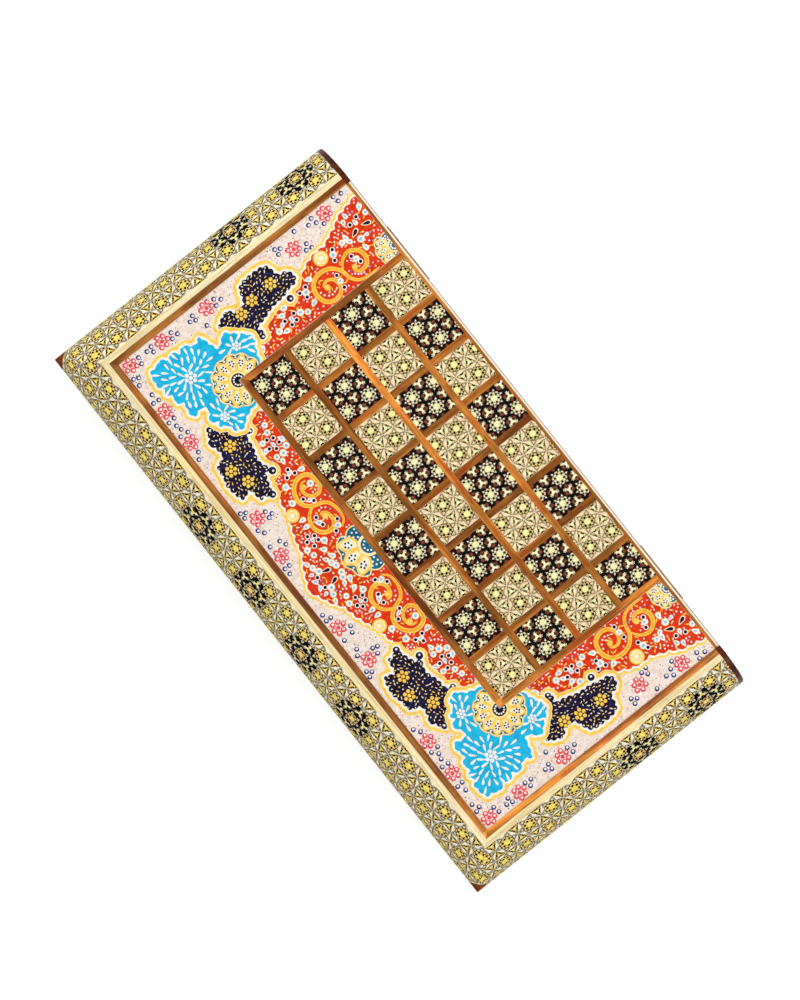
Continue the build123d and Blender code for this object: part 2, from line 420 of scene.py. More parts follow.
def star_sheet_group() -> bpy.types.NodeTree:
    """The khatam pattern: six-rayed stars on a triangular lattice, with triangles between them.

    The place is folded into one twelfth of a star: across it runs towards the middle of a triangle, and the
    ray runs 30 degrees from that. Every shape is then a half plane, a disc or a lozenge in that wedge.

    Returns:
        The node group, with a colour input for each kind of shape and the blended colour as its output.
    """
    shapes = "Triangle,Triangle dot,Heart,Line,Notch,Lozenge,Ray,Ray core,Ring,Ring dot,Hexagon".split(",")
    inputs = {"Place": "vector", "Tip": "value", "Split": "value", "Weight": "value"}
    inputs |= {name: "colour" for name in shapes}
    recipe = Recipe("star sheet", inputs, {"Colour": "colour", "Joint": "value"})
    g = recipe.graph
    tip, weight = recipe.given("Tip"), recipe.given("Weight")
    u, v, _ = g.split(recipe.given("Place"))
    tall = v * (1 / ROOT3)
    au, av = u - g.math("ROUND", u), (tall - g.math("ROUND", tall)) * ROOT3
    bu, bv = u - 0.5, tall - 0.5
    bu, bv = bu - g.math("ROUND", bu), (bv - g.math("ROUND", bv)) * ROOT3
    far_a, far_b = au * au + av * av, bu * bu + bv * bv
    second = far_a > far_b
    x, y = au + second * (bu - au), av + second * (bv - av)
    reach = g.math("SQRT", g.math("MINIMUM", far_a, far_b)) * STAR.pitch
    turn = g.math("FLOORED_MODULO", g.math("ARCTAN2", y, x), math.pi / 3)
    turn = g.math("ABSOLUTE", turn - math.pi / 6)
    across, aside = reach * g.math("COSINE", turn), reach * g.math("SINE", turn)
    out = across * (ROOT3 / 2) + aside * 0.5
    width = across * 0.5 - aside * (ROOT3 / 2)

    def disc(cx: float, cy: float, radius: float) -> Signal:
        """1 inside a disc of the wedge, else 0."""
        return g.math("POWER", across - cx, 2.0) + g.math("POWER", aside - cy, 2.0) < radius**2

    def band(value: Signal, middle: Wire, half: Wire) -> Signal:
        """1 where a value lies no further than half from the middle, else 0."""
        return g.math("COMPARE", value, middle, half)

    taper = (tip - out) * STAR.taper
    border, thread = weight * STAR.border_half, weight * STAR.thread_half
    in_star = across < STAR.star_edge
    stitch = g.math("SINE", out * STAR.stitches[0]) > STAR.stitches[1]
    beads = g.math("COSINE", aside * STAR.beads[0]) > STAR.beads[1]
    dashes = g.math("SINE", out * STAR.dashes[0]) > STAR.dashes[1]
    corner = g.math("POWER", out - STAR.corner_dot, 2.0) + width * width
    lozenge = g.math("ABSOLUTE", across - STAR.lozenge) + aside * STAR.lozenge_slope
    layers = (
        ("Triangle dot", disc(*STAR.triangle_dot)),
        ("Heart", g.math("ABSOLUTE", across - STAR.heart) + aside * 0.5 < STAR.heart_reach),
        ("Line", band(across, border + STAR.border_start, border) * beads),
        ("Notch", in_star),
        ("Lozenge", lozenge < STAR.lozenge_reach),
        ("Line", band(width - taper, STAR.thread_place, thread) * dashes * (across < STAR.thread_end)),
        ("Line", (corner < STAR.corner_area) * (tip < STAR.blunt_tip)),
        ("Line", (width < taper + border + STAR.border_gap) * stitch * in_star),
        ("Ray", (width < taper - STAR.ray_edge) * in_star),
        ("Ray core", (width < taper - STAR.core_edge) * (out > STAR.core_start) * (width > recipe.given("Split"))),
        ("Line", (out < STAR.ring_line) * beads),
        ("Ring", out < STAR.ring),
        ("Ring dot", disc(*STAR.ring_dots[0])),
        ("Ring dot", disc(*STAR.ring_dots[1])),
        ("Line", (across < STAR.hexagon_line) * beads),
        ("Hexagon", across < STAR.hexagon),
    )
    colour = recipe.given("Triangle")
    for name, mask in layers:
        colour = g.mix(mask, colour, recipe.given(name))
    rods = g.node("TexVoronoi", {"Vector": recipe.given("Place"), "Scale": STAR.rod_scale}, feature="F1")
    grey = g.spread(g.split(g.out(rods, "Color"))[0], 0.0, 1.0, *STAR.rod_shades)
    recipe.give("Colour", g.shade(colour, grey))
    edge_joint = band(across, STAR.star_edge, STAR.joint_half)
    ring_joint = band(out, STAR.ring_joint, STAR.ring_joint_half)
    recipe.give("Joint", g.math("MAXIMUM", edge_joint, ring_joint))
    return recipe.tree


def grain_group() -> bpy.types.NodeTree:
    """Wood grain that runs along X: broad figure, fine streaks and dark pores.

    Each is noise over a place whose X is shortened, which stretches it along the fibres.

    Returns:
        The node group.
    """
    recipe = Recipe("wood grain", {"Place": "vector"}, {"Figure": "value", "Streaks": "value", "Pores": "value"})
    g = recipe.graph
    x, y, z = g.split(recipe.given("Place"))
    recipe.give("Figure", g.noise(g.join(x * 0.07, y, z), 75.0, 6.0, 0.62, 0.8))
    recipe.give("Streaks", g.noise(g.join(x * 0.03, y, z), 640.0, 2.0, 0.6))
    recipe.give("Pores", g.spread(g.noise(g.join(x * 0.05, y, z), 1500.0, 1.0), 0.62, 0.72))
    return recipe.tree


def frame_grain_group() -> bpy.types.NodeTree:
    """Turns the place so that grain follows the three mitred sides of the frame, and marks the mitre joints.

    A point belongs to the front side where its distance from the front edge is less than that from the
    nearer short edge, and there the grain runs along X, otherwise along Y.

    Returns:
        The node group, whose place output also shifts each side so that their grain differs.
    """
    recipe = Recipe("frame grain", {"Place": "vector"}, {"Along": "vector", "Seam": "value"})
    g = recipe.graph
    x, y, z = g.split(recipe.given("Place"))
    side = SIZE.half_length * MM - g.math("ABSOLUTE", x)
    front = y - SIZE.front_y * MM
    is_front = front < side
    apart = (1.0 - is_front) * (g.math("SIGN", x) * 0.37)
    recipe.give("Along", g.join(y + is_front * (x - y), side + is_front * (front - side) + apart, z))
    recipe.give("Seam", g.math("LESS_THAN", g.math("ABSOLUTE", front - side), 0.00018))
    return recipe.tree


def lacquer_group() -> bpy.types.NodeTree:
    """Hand-rubbed gloss: a slow ripple for the relief, and roughness that rises in faint smears and scratches.

    Returns:
        The node group.
    """
    recipe = Recipe("lacquer", {"Place": "vector", "Roughness": "value"}, {"Ripple": "value", "Roughness": "value"})
    g = recipe.graph
    place = recipe.given("Place")
    x, y, z = g.split(place)
    smear = g.spread(g.noise(place, 22.0, 4.0, 0.6), 0.45, 0.75)
    scratch = g.spread(g.noise(g.join(x * 0.05 + y * 0.02, y, z), 900.0, 2.0), 0.66, 0.74)
    recipe.give("Ripple", g.noise(place, 60.0, 2.0))
    recipe.give("Roughness", recipe.given("Roughness") + smear * 0.06 + scratch * 0.08)
    return recipe.tree


class Workshop:
    """Holds the shared node groups, built once and placed in every finish that needs them."""

    ripple_share: float = 0.2
    bump_strength: float = 0.6
    coat_roughness: float = 0.05

    def __init__(self) -> None:
        """Builds the groups."""
        self.stars = star_sheet_group()
        self.grain = grain_group()
        self.frame_grain = frame_grain_group()
        self.lacquer = lacquer_group()

    def material(
        self,
        name: str,
        colour: Signal,
        gloss: float,
        height: Signal,
        depth: float,
        metal: float = 0.0,
        coat: float = 0.5,
        shine: float = 0.3,
    ) -> None:
        """Ends a material: puts its colour, lacquer and bump on a Principled shader.

        Args:
            name: The material's name, for the log.
            colour: Base colour signal of the material's own tree.
            gloss: Roughness before smears.
            height: Relief signal.
            depth: Depth of the relief in metres.
            metal: Metallic value.
            coat: Weight of the clear coat.
            shine: Specular level under the coat.
        """
        g = colour.graph
        finish = g.group(self.lacquer, {"Place": g.place(), "Roughness": gloss})
        relief = height * (1.0 - self.ripple_share) + g.out(finish, "Ripple") * self.ripple_share
        bump = g.node("Bump", {"Strength": self.bump_strength, "Distance": depth, "Height": relief})
        shader = g.node(
            "BsdfPrincipled",
            {
                "Base Color": colour,
                "Roughness": g.out(finish, "Roughness"),
                "Metallic": metal,
                "Specular IOR Level": shine,
                "Coat Weight": coat,
                "Coat Roughness": self.coat_roughness,
                "Normal": g.out(bump),
            },
        )
        output = g.tree.nodes.new("ShaderNodeOutputMaterial")
        g.tree.links.new(shader.outputs[0], output.inputs[0])
        log.info("finish %s", name)


def fresh_material(name: str) -> tuple[bpy.types.Material, Graph]:
    """Starts a node material.

    Args:
        name: The material's name.

    Returns:
        The empty material and the graph that fills it.
    """
    made = bpy.data.materials.new(name)
    made.use_nodes = True
    made.node_tree.nodes.clear()
    return made, Graph(made.node_tree)


class Run(Enum):
    """Which way the grain of a piece runs."""

    X = "along the hinge"
    Y = "across the board"
    FRAME = "round the mitred frame"


@dataclass(frozen=True)
class WoodFinish:
    """A lacquered wood: two tones of its figure, a pore tone and how its grain runs.

    Flame is the share of the ember tone in its patches, and relief its depth in metres. Each gain scales the
    brightness of the wood between two places in millimetres along axis 0 or 1; on the walnut slips the gains are
    painted highlight and painted shade. Each line lays another tone between two places across the hinge edge; on
    the lipping they are a painted highlight on its rounded edge and painted shade outside it.
    """

    name: str
    light: str
    dark: str
    pores: str
    run: Run = Run.X
    contrast: float = 1.0
    patches: float = 0.1
    gloss: float = 0.24
    coat: float = 0.7
    shine: float = 0.3
    seams: bool = False
    flame: float = 0.0
    ember: str = "A23E14"
    relief: float = 0.00008
    gains: tuple[tuple[int, float, float, float], ...] = ()
    lines: tuple[tuple[float, float, str], ...] = ()

    def make(self, shop: Workshop) -> bpy.types.Material:
        """Builds the wood: figure blends the two tones, streaks and pores darken it.

        Args:
            shop: The shared node groups.

        Returns:
            The material.
        """
        made, g = fresh_material(self.name)
        place = g.place()
        seam: Optional[Signal] = None
        if self.run is Run.Y:
            x, y, z = g.split(place)
            along = g.join(y, x, z)
        elif self.run is Run.FRAME:
            sides = g.group(shop.frame_grain, {"Place": place})
            along, seam = g.out(sides, "Along"), g.out(sides, "Seam")
        else:
            along = place
        wood = g.group(shop.grain, {"Place": along})
        spread = 0.16 / self.contrast
        figure = g.spread(g.out(wood, "Figure"), 0.5 - spread, 0.5 + spread)
        colour = g.mix(figure, tone(self.dark), tone(self.light))
        if self.flame > 0.0:
            run, aside, _ = g.split(along)
            ember = g.spread(g.noise(g.join(run * 0.3, aside, 0.7), 150.0, 3.0, 0.6), 0.5, 0.66)
            colour = g.mix(ember * self.flame, colour, tone(self.ember))
        cloud = g.spread(g.noise(along, 16.0, 3.0, 0.6), 0.35, 0.65, 1.0 - self.patches, 1.0 + self.patches * 0.4)
        # Bands of scaled brightness; on the walnut slips these are painted highlight and painted shade
        for axis, low, high, gain in self.gains:
            cloud = cloud * (1.0 + g.between(g.split(place)[axis], low * MM, high * MM) * (gain - 1.0))
        colour = g.shade(colour, cloud)
        colour = g.shade(colour, g.spread(g.out(wood, "Streaks"), 0.35, 0.7, 0.8, 1.12))
        colour = g.mix(g.out(wood, "Pores") * 0.6, colour, tone(self.pores))
        # Lines of another tone across the hinge edge; on the lipping these are a painted highlight and painted shade
        for low, high, code in self.lines:
            colour = g.mix(g.between(g.split(place)[1], low * MM, high * MM) * 0.9, colour, tone(code))
        if seam is not None and self.seams:
            colour = g.mix(seam * 0.75, colour, tone(self.pores))
        relief = g.out(wood, "Streaks")
        shop.material(self.name, colour, self.gloss, relief, self.relief, coat=self.coat, shine=self.shine)
        return made


@dataclass(frozen=True)
class StarColours:
    """Colours of each kind of shape in a khatam sheet, and three measures of its stars.

    Tip is the reach of the rays, split the half width of the dark line down their middle, and weight
    thickens the dark outlines.
    """

    triangle: str
    triangle_dot: str
    heart: str
    line: str
    notch: str
    lozenge: str
    ray: str
    ray_core: str
    ring: str
    ring_dot: str
    hexagon: str
    tip: float = 8.9
    split: float = 0.0
    weight: float = 1.0

    def inputs(self) -> dict[str, Wire]:
        """The colours and measures by the names of the star sheet's inputs."""
        named = {key.replace("_", " ").capitalize(): value for key, value in vars(self).items()}
        return {key: tone(value) if isinstance(value, str) else value for key, value in named.items()}


LIGHT_STARS = StarColours(
    triangle="DECC8E", triangle_dot="140C02", heart="FFFCCC", line="241804", notch="FFE3BC", lozenge="FBDEAC",
    ray="84703C", ray_core="F2DCA4", ring="DAC480", ring_dot="140E02", hexagon="FDF2A4",
)
DARK_STARS = StarColours(
    triangle="F6E6B8", triangle_dot="4A2C16", heart="FFF9CC", line="0E0A06", notch="200B06", lozenge="7A3E2C",
    ray="6E664E", ray_core="FAF2DC", ring="EADEB6", ring_dot="2A2410", hexagon="FBF3B4", tip=8.1,
)
RIM_STARS = StarColours(
    triangle="E0B65A", triangle_dot="060401", heart="FFF08C", line="060401", notch="FFF3D4", lozenge="FFF1D0",
    ray="1A1005", ray_core="FFF1C8", ring="FCD87C", ring_dot="040301", hexagon="FFE870", split=0.12,
    weight=1.35,
)
MEDALLION_STARS = StarColours(
    triangle="FFF0BE", triangle_dot="060402", heart="FFE674", line="040302", notch="060403", lozenge="060403",
    ray="060403", ray_core="FFF6D0", ring="EFC47C", ring_dot="0A0703", hexagon="FFE084", tip=9.5, split=0.2,
)


class Layout(Enum):
    """How a flat khatam sheet is laid out."""

    SQUARES = "two stars across each chess square"
    FRAME = "along the sides of the mitred frame"
    STRIPS = "in rows across the board"


@dataclass(frozen=True)
class StarFinish:
    """A khatam sheet on flat pieces, with its layout and the distance between its stars.

    Mitre row is where the frame's edge lies in its first row of stars, and relief the depth of the joints.
    """

    name: str
    colours: StarColours
    pitch: float = 19.5
    layout: Layout = Layout.STRIPS
    gloss: float = 0.2
    relief: float = 0.00004
    mitre_row: float = 0.15

    def make(self, shop: Workshop) -> bpy.types.Material:
        """Builds the sheet: the layout gives each point its place in star pitches.

        Args:
            shop: The shared node groups.

        Returns:
            The material.
        """
        made, g = fresh_material(self.name)
        place = g.place()
        x, y, _ = g.split(place)
        if self.layout is Layout.SQUARES:
            past_x, past_y = x * 1000.0 - SIZE.first_column, y * 1000.0 - SIZE.first_row
            column = g.math("ROUND", past_x * (1 / SIZE.square_pitch))
            row = g.math("ROUND", past_y * (1 / SIZE.square_pitch))
            in_x, in_y = past_x - column * SIZE.square_pitch, past_y - row * SIZE.square_pitch
            phase = g.chance(g.join(column, row, 3.0))
            quarter = SIZE.square / 4
            spot = g.join(in_y * (1 / self.pitch) + phase, (in_x + quarter) * (ROOT3 / 2 / (2 * quarter)))
        elif self.layout is Layout.FRAME:
            sides = g.group(shop.frame_grain, {"Place": place})
            along, across, _ = g.split(g.out(sides, "Along"))
            spot = g.join(along * (1000.0 / self.pitch), across * (1000.0 / self.pitch) + self.mitre_row)
        else:
            spot = g.join(y * (1000.0 / self.pitch), x * (1000.0 / self.pitch))
        sheet = g.group(shop.stars, {"Place": spot} | self.colours.inputs())
        shop.material(self.name, g.out(sheet, "Colour"), self.gloss, 1.0 - g.out(sheet, "Joint"), self.relief)
        return made


@dataclass(frozen=True)
class RimFinish:
    """The khatam of the round rims, with black-ground medallions in places of the middle row."""

    name: str = "rim khatam"
    plain: StarColours = RIM_STARS
    medallion: StarColours = MEDALLION_STARS
    gloss: float = 0.24
    relief: float = 0.00004
    hexagon_reach: float = 0.8

    def make(self, shop: Workshop) -> bpy.types.Material:
        """Builds the sheet on the band map; a hexagon round each medallion's star takes the dark colours.

        Args:
            shop: The shared node groups.

        Returns:
            The material.
        """
        made, g = fresh_material(self.name)
        band = g.out(g.node("UVMap", uv_map="band"))
        middle = g.out(g.node("UVMap", uv_map="medallion"))
        plain = g.group(shop.stars, {"Place": band} | self.plain.inputs())
        dark = g.group(shop.stars, {"Place": band} | self.medallion.inputs())
        number, count, _ = g.split(middle)
        nearest = g.math("MINIMUM", g.math("MAXIMUM", g.math("ROUND", number), 0.0), count - 1.0)
        along = g.math("ABSOLUTE", (number - nearest) * 3.0)
        across = g.math("ABSOLUTE", g.split(band)[1] - ROOT3 / 2)
        hexagon = g.math("MAXIMUM", along * (ROOT3 / 2) + across * 0.5, across)
        inside = (hexagon < self.hexagon_reach) * (count > 0.5)
        colour = g.mix(inside, g.out(plain, "Colour"), g.out(dark, "Colour"))
        relief = 1.0 - g.out(plain, "Joint")
        shop.material(self.name, colour, self.gloss, relief, self.relief, coat=0.1, shine=0.0)
        return made


@dataclass(frozen=True)
class GroundFinish:
    """The pale painted ground of the border, mottled and sprinkled with tiny dots."""

    name: str = "painted ground"
    base: str = "F1E1D4"
    shade: str = "D9C0B0"
    specks: tuple[str, str, str] = ("6C5C7C", "BC7C66", "FFFFFF")
    speck_reach: float = 0.27

    def make(self, shop: Workshop) -> bpy.types.Material:
        """Builds the ground: cloudy mottling and small specks on a Voronoi lattice.

        Args:
            shop: The shared node groups.

        Returns:
            The material.
        """
        made, g = fresh_material(self.name)
        place = g.place()
        cloud = g.spread(g.noise(place, 420.0, 5.0, 0.65), 0.4, 0.72)
        colour = g.mix(cloud, tone(self.base), tone(self.shade))
        flat = g.join(g.split(place)[0], g.split(place)[1])
        specks = g.node("TexVoronoi", {"Vector": flat, "Scale": 520.0}, feature="F1")
        kind = g.split(g.out(specks, "Color"))
        spot = (g.out(specks, "Distance") < self.speck_reach) * (kind[0] > 0.35)
        cool, warm, white = map(tone, self.specks)
        speck = g.mix(kind[2] > 0.45, white, g.mix(kind[1] > 0.45, cool, warm))
        colour = g.mix(spot, colour, speck)
        shop.material(self.name, colour, 0.2, g.noise(place, 400.0, 2.0), 0.00005)
        return made


@dataclass(frozen=True)
class BrassFinish:
    """Polished brass with fine turning marks and dulled patches."""

    name: str
    bright: str = "D9A955"
    dull: str = "A97C36"
    gloss: float = 0.2

    def make(self, shop: Workshop) -> bpy.types.Material:
        """Builds the brass: tarnish clouds blend the tones and fine lines give the relief.

        Args:
            shop: The shared node groups.

        Returns:
            The material.
        """
        made, g = fresh_material(self.name)
        place = g.place()
        x, y, z = g.split(place)
        cloud = g.spread(g.noise(place, 240.0, 5.0, 0.6), 0.4, 0.7)
        colour = g.mix(cloud, tone(self.bright), tone(self.dull))
        lines = g.noise(g.join(x * 0.04, y, z), 2600.0, 2.0)
        shop.material(self.name, colour, self.gloss, lines, 0.00003, metal=1.0, coat=0.0)
        return made


class Side(Enum):
    """The three sides with a round rim, as they lie on the upper half."""

    FRONT = "front"
    LEFT = "left"
    RIGHT = "right"

    def lying_on(self, half: Half) -> str:
        """Names the place where this side lies on a half; the lower half has left and right exchanged.

        Args:
            half: The half.

        Returns:
            Front, left or right.
        """
        if half is Half.LOWER and self is not Side.FRONT:
            return Side.RIGHT.value if self is Side.LEFT else Side.LEFT.value
        return self.value


@dataclass(frozen=True)
class Sheet:
    """One sheet of khatam along a rim, in millimetres.

    Low and high are where it begins and ends along the side, with None for a mitre. Star is where a star of
    the first row stands, and pitch the distance between stars.
    """

    low: Optional[float]
    high: Optional[float]
    star: float
    pitch: float


@dataclass(frozen=True)
class Medallions:
    """Medallions of a rim: place of the first one, distance between them, and their count."""

    first: float
    step: float
    count: float


RIM_SHEETS = {
    Side.FRONT: (Sheet(None, -98.0, -97.9, 21.25), Sheet(-98.0, 98.0, 1.9, 19.8), Sheet(98.0, None, 100.5, 20.9)),
    Side.LEFT: (Sheet(None, None, 2.3, 20.3),),
    Side.RIGHT: (Sheet(None, None, -1.9, 20.7),),
}
RIM_MEDALLIONS = {
    Side.FRONT: Medallions(-87.5, 59.35, 4.0),
    Side.LEFT: Medallions(32.6, 59.7, 2.0),
    Side.RIGHT: Medallions(30.4, 61.3, 2.0),
}


@dataclass
class KhatamRims:
    """The inlaid veneers of the bull-nose rims: an arc section carried along each side up to its mitres.

    Steps and columns count the points round the arc and along a sheet. Cap leg and cap lean give the edge of
    the corner cap, kink inset is where that edge meets the mitre, and row spacing and first row place the
    rows of stars by their distance from the pale slip along the arc.
    """

    half: Half
    steps: int = 40
    columns: int = 9
    cap_leg: float = 10.0
    cap_lean: float = 0.13485
    kink_inset: float = 6.6
    row_spacing: float = 15.9
    first_row: float = 7.8

    def section(self) -> tuple[np.ndarray, np.ndarray, np.ndarray]:
        """The rim's section, both arcs about the same centre and the inner one cut at the pale slip.

        Returns:
            The outer arc and the inner arc as distance in from the edge and height, and the outer arc's
            length from the slip.
        """
        radius = SIZE.rim_radius
        full = math.asin(SIZE.half_height / radius)
        kink = math.acos(1 - self.kink_inset / radius)
        angle = np.unique(np.append(np.linspace(0.0, full, self.steps), kink))
        inner_radius = radius - SIZE.rim_veneer
        inner = angle * math.acos((radius - SIZE.rim_width) / inner_radius) / full
        outer_arc = np.stack([radius - radius * np.cos(angle), radius * np.sin(angle)], -1)
        inner_arc = np.stack([radius - inner_radius * np.cos(inner), inner_radius * np.sin(inner)], -1)
        return outer_arc, inner_arc, radius * (full - angle)

    def grid(self, side: Side, sheet: Sheet, arc: np.ndarray) -> np.ndarray:
        """Carries an arc along a sheet: at each height the run goes evenly from one end to the other.

        Args:
            side: The side that the sheet lies on.
            sheet: The sheet.
            arc: Distance in from the edge and height above the mouth.

        Returns:
            Run, inset and height for each point of the grid.
        """
        begin = np.maximum(arc[:, 0], self.cap_leg + self.cap_lean * arc[:, 1] - arc[:, 0])
        if side is Side.FRONT:
            low = begin - SIZE.half_length if sheet.low is None else np.full(len(arc), sheet.low)
            high = SIZE.half_length - begin if sheet.high is None else np.full(len(arc), sheet.high)
        else:
            low, high = SIZE.front_y + begin, np.full(len(arc), SIZE.lipping_y)
        share = np.linspace(0.0, 1.0, self.columns)[None, :]
        run = low[:, None] * (1 - share) + high[:, None] * share
        return np.stack([run, *(np.broadcast_to(arc[:, i : i + 1], run.shape) for i in (0, 1))], -1)

    def seat(self, side: Side, grid: np.ndarray) -> np.ndarray:
        """Puts a grid in its place on a side of the upper half.

        Args:
            side: The side.
            grid: Run, inset and height for each point.

        Returns:
            The points in millimetres.
        """
        run, inset, height = grid[..., 0], grid[..., 1], grid[..., 2] + SIZE.mouth
        if side is Side.FRONT:
            return np.stack([run, SIZE.front_y + inset, height], -1)
        sign = -1.0 if side is Side.LEFT else 1.0
        return np.stack([sign * (SIZE.half_length - inset), run, height], -1)

    def add_sheet(self, solid: Solid, side: Side, sheet: Sheet) -> None:
        """Adds one sheet of veneer to a rim as a closed shell with its two maps.

        Args:
            solid: The piece that it belongs to.
            side: The side that it lies on.
            sheet: The sheet.
        """
        outer_arc, inner_arc, length = self.section()
        outer, inner = (self.grid(side, sheet, arc) for arc in (outer_arc, inner_arc))
        along = outer[..., 0]
        rows = (np.broadcast_to(length[:, None], along.shape) - self.first_row) / self.row_spacing * (ROOT3 / 2)
        star_map = np.stack([(along - sheet.star) / sheet.pitch, rows], -1).reshape(-1, 2)
        medals = RIM_MEDALLIONS[side]
        numbers = (along - medals.first) / medals.step
        medal_map = np.stack([numbers, np.full_like(along, medals.count)], -1).reshape(-1, 2)
        points, faces = shell_between(self.seat(side, outer), self.seat(side, inner))
        solid.add(points, faces, {"band": np.tile(star_map, (2, 1)), "medallion": np.tile(medal_map, (2, 1))})

    def build(self, material: bpy.types.Material) -> None:
        """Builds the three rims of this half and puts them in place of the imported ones.

        Args:
            material: The rim's khatam.
        """
        for side, sheets in RIM_SHEETS.items():
            lies = side.lying_on(self.half)
            solid = Solid(f"{self.half.value}_{lies}_rim_veneer")
            for sheet in sheets:
                self.add_sheet(solid, side, sheet)
            piece = solid.make(self.half, smooth=True)
            piece.data.materials.append(material)
            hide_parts(f"{self.half.value}_{lies}_khatam_rim")
            log.info("built %s, %d faces", piece.name, len(solid.faces))


class Tint(Enum):
    """The paints of the border, each a display colour and its darker brush shade."""

    RED = ("red", "E23C12", "C62C0C")
    NAVY = ("navy", "241A3C", "130E22")
    TURQUOISE = ("turquoise", "1EBAE2", "12A2D0")
    TEAL = ("teal", "1E6F86", "12506A")
    GOLD = ("gold", "F8D05C", "F0B840")
    AMBER = ("amber", "F4B236", "E89622")
    CREAM = ("cream", "FAECC0", "F2DC9C")
    WHITE = ("white", "F8F4EE", "E2DCD6")
    SKY = ("sky", "A9CBE8", "7FA8D4")
    BLACK = ("black", "1B1524", "0E0A16")
    BLUE = ("blue", "2C3A86", "1C2660")
    ROSE = ("rose", "E8525C", "D23A4A")

    @property
    def label(self) -> str:
        """The paint's plain name."""
        return self.value[0]


Path = Sequence[tuple[float, float]]

# Outlines of the border's ornament on the left side, in millimetres; the right side mirrors them
RED_SIDE_EDGE: Path = (
    (-203, 119), (-201, 112), (-200, 107), (-198, 99), (-194, 93), (-191.5, 86), (-188, 79), (-188.5, 72),
    (-187, 65), (-185, 60), (-182, 54), (-183, 48), (-180, 40), (-178, 30), (-176, 22), (-173, 14),
    (-170, 8), (-165, 1), (-158, -3), (-151, -8),
)
NAVY_SIDE: Path = (
    (-186, 49), (-191, 46), (-193, 40), (-203, 37), (-205, 25), (-203, 13), (-192, 8), (-190, 0), (-195, -6),
    (-189, -17), (-184, -11), (-175, -3), (-168, 1), (-164, 4), (-167, 6.5), (-172, 5), (-174, 13), (-177, 22),
    (-178, 33), (-180, 40), (-181, 47),
)
TURQUOISE_CORNER: Path = (
    (-151, -9), (-160, -6), (-170, -2), (-180, -12), (-184, -17), (-181, -21), (-178, -27), (-192, -32),
    (-190, -38), (-195, -46), (-192, -50), (-196, -55), (-194, -59), (-197, -65), (-195, -70), (-194, -75.5),
    (-183, -77.5), (-179, -74), (-176, -77), (-171, -73), (-166, -74.5), (-162, -70), (-155, -71.5), (-150, -70),
    (-152, -63), (-148, -59), (-140, -63.5), (-137, -59), (-133, -60), (-130, -55), (-124, -53), (-122, -47),
    (-126, -42), (-129, -35), (-130, -29),
)
NAVY_FRONT: Path = (
    (-117.5, -44), (-115, -50), (-107, -51), (-97, -54), (-90, -52), (-85, -50), (-87, -55), (-76, -59.5),
    (-70, -61), (-74, -66), (-74, -70), (-84, -72), (-82, -80), (-95, -83), (-103, -81), (-111, -80), (-115, -72),
    (-124, -73), (-127, -75), (-131, -72), (-137, -68), (-132, -63), (-125, -57), (-121, -54), (-119, -49),
)
RED_FRONT_EDGE: Path = (
    (-123, -29), (-124, -33), (-122, -39), (-109, -49), (-100, -47), (-93, -49), (-85, -47), (-78, -55),
    (-66, -59), (-56, -61), (-50, -62), (-44, -65), (-33, -69), (-24, -71), (-17, -76), (-8, -80), (0, -84),
)
SCROLLS: Sequence[Path] = (
    ((-151.9, 101), (-151.6, 92), (-153.5, 84), (-159, 79.5), (-167, 77.5), (-173, 72), (-174.8, 64), (-172, 56.5),
     (-165, 53), (-157, 54.5), (-153.2, 60), (-153.8, 66.5), (-158, 70.3), (-164, 70), (-167.4, 66), (-166.3, 61.5),
     (-162.8, 60.8)),
    ((-166, 78.5), (-172, 83), (-174.5, 90), (-171, 96), (-165, 98), (-159.5, 95.5), (-158, 90), (-160.5, 86),
     (-164.5, 86)),
    ((-64.6, -36.3), (-64.5, -40), (-61, -42.6), (-56, -42.2), (-52.4, -39), (-52, -34), (-55.5, -30.6), (-61, -30.3),
     (-66.5, -32), (-69, -37), (-68, -43), (-63, -48), (-56, -49.8), (-50, -47.3), (-46.5, -42), (-44, -35.5),
     (-39, -31.8), (-32, -30.8), (-26, -32), (-22, -36)),
    ((-46.6, -41), (-45.8, -46), (-41.5, -51), (-35, -53), (-29, -51), (-25.6, -46), (-26.2, -41), (-30, -38),
     (-36, -38.5), (-39, -41), (-38.3, -43.6)),
)
SCROLL_HEARTS: Path = ((-162.8, 87.2), (-163.2, 62.5), (-61.5, -40.6), (-36.2, -41))
RED_SIDE_CORNERS: Path = ((-150.8, -8.0), (-150.8, 119.0))
RED_FRONT_CORNERS: Path = ((123.0, -29.0), (-123.0, -29.0))
TURQUOISE_CORNERS: Path = ((-150.7, -29.0), (-150.7, -9.0))

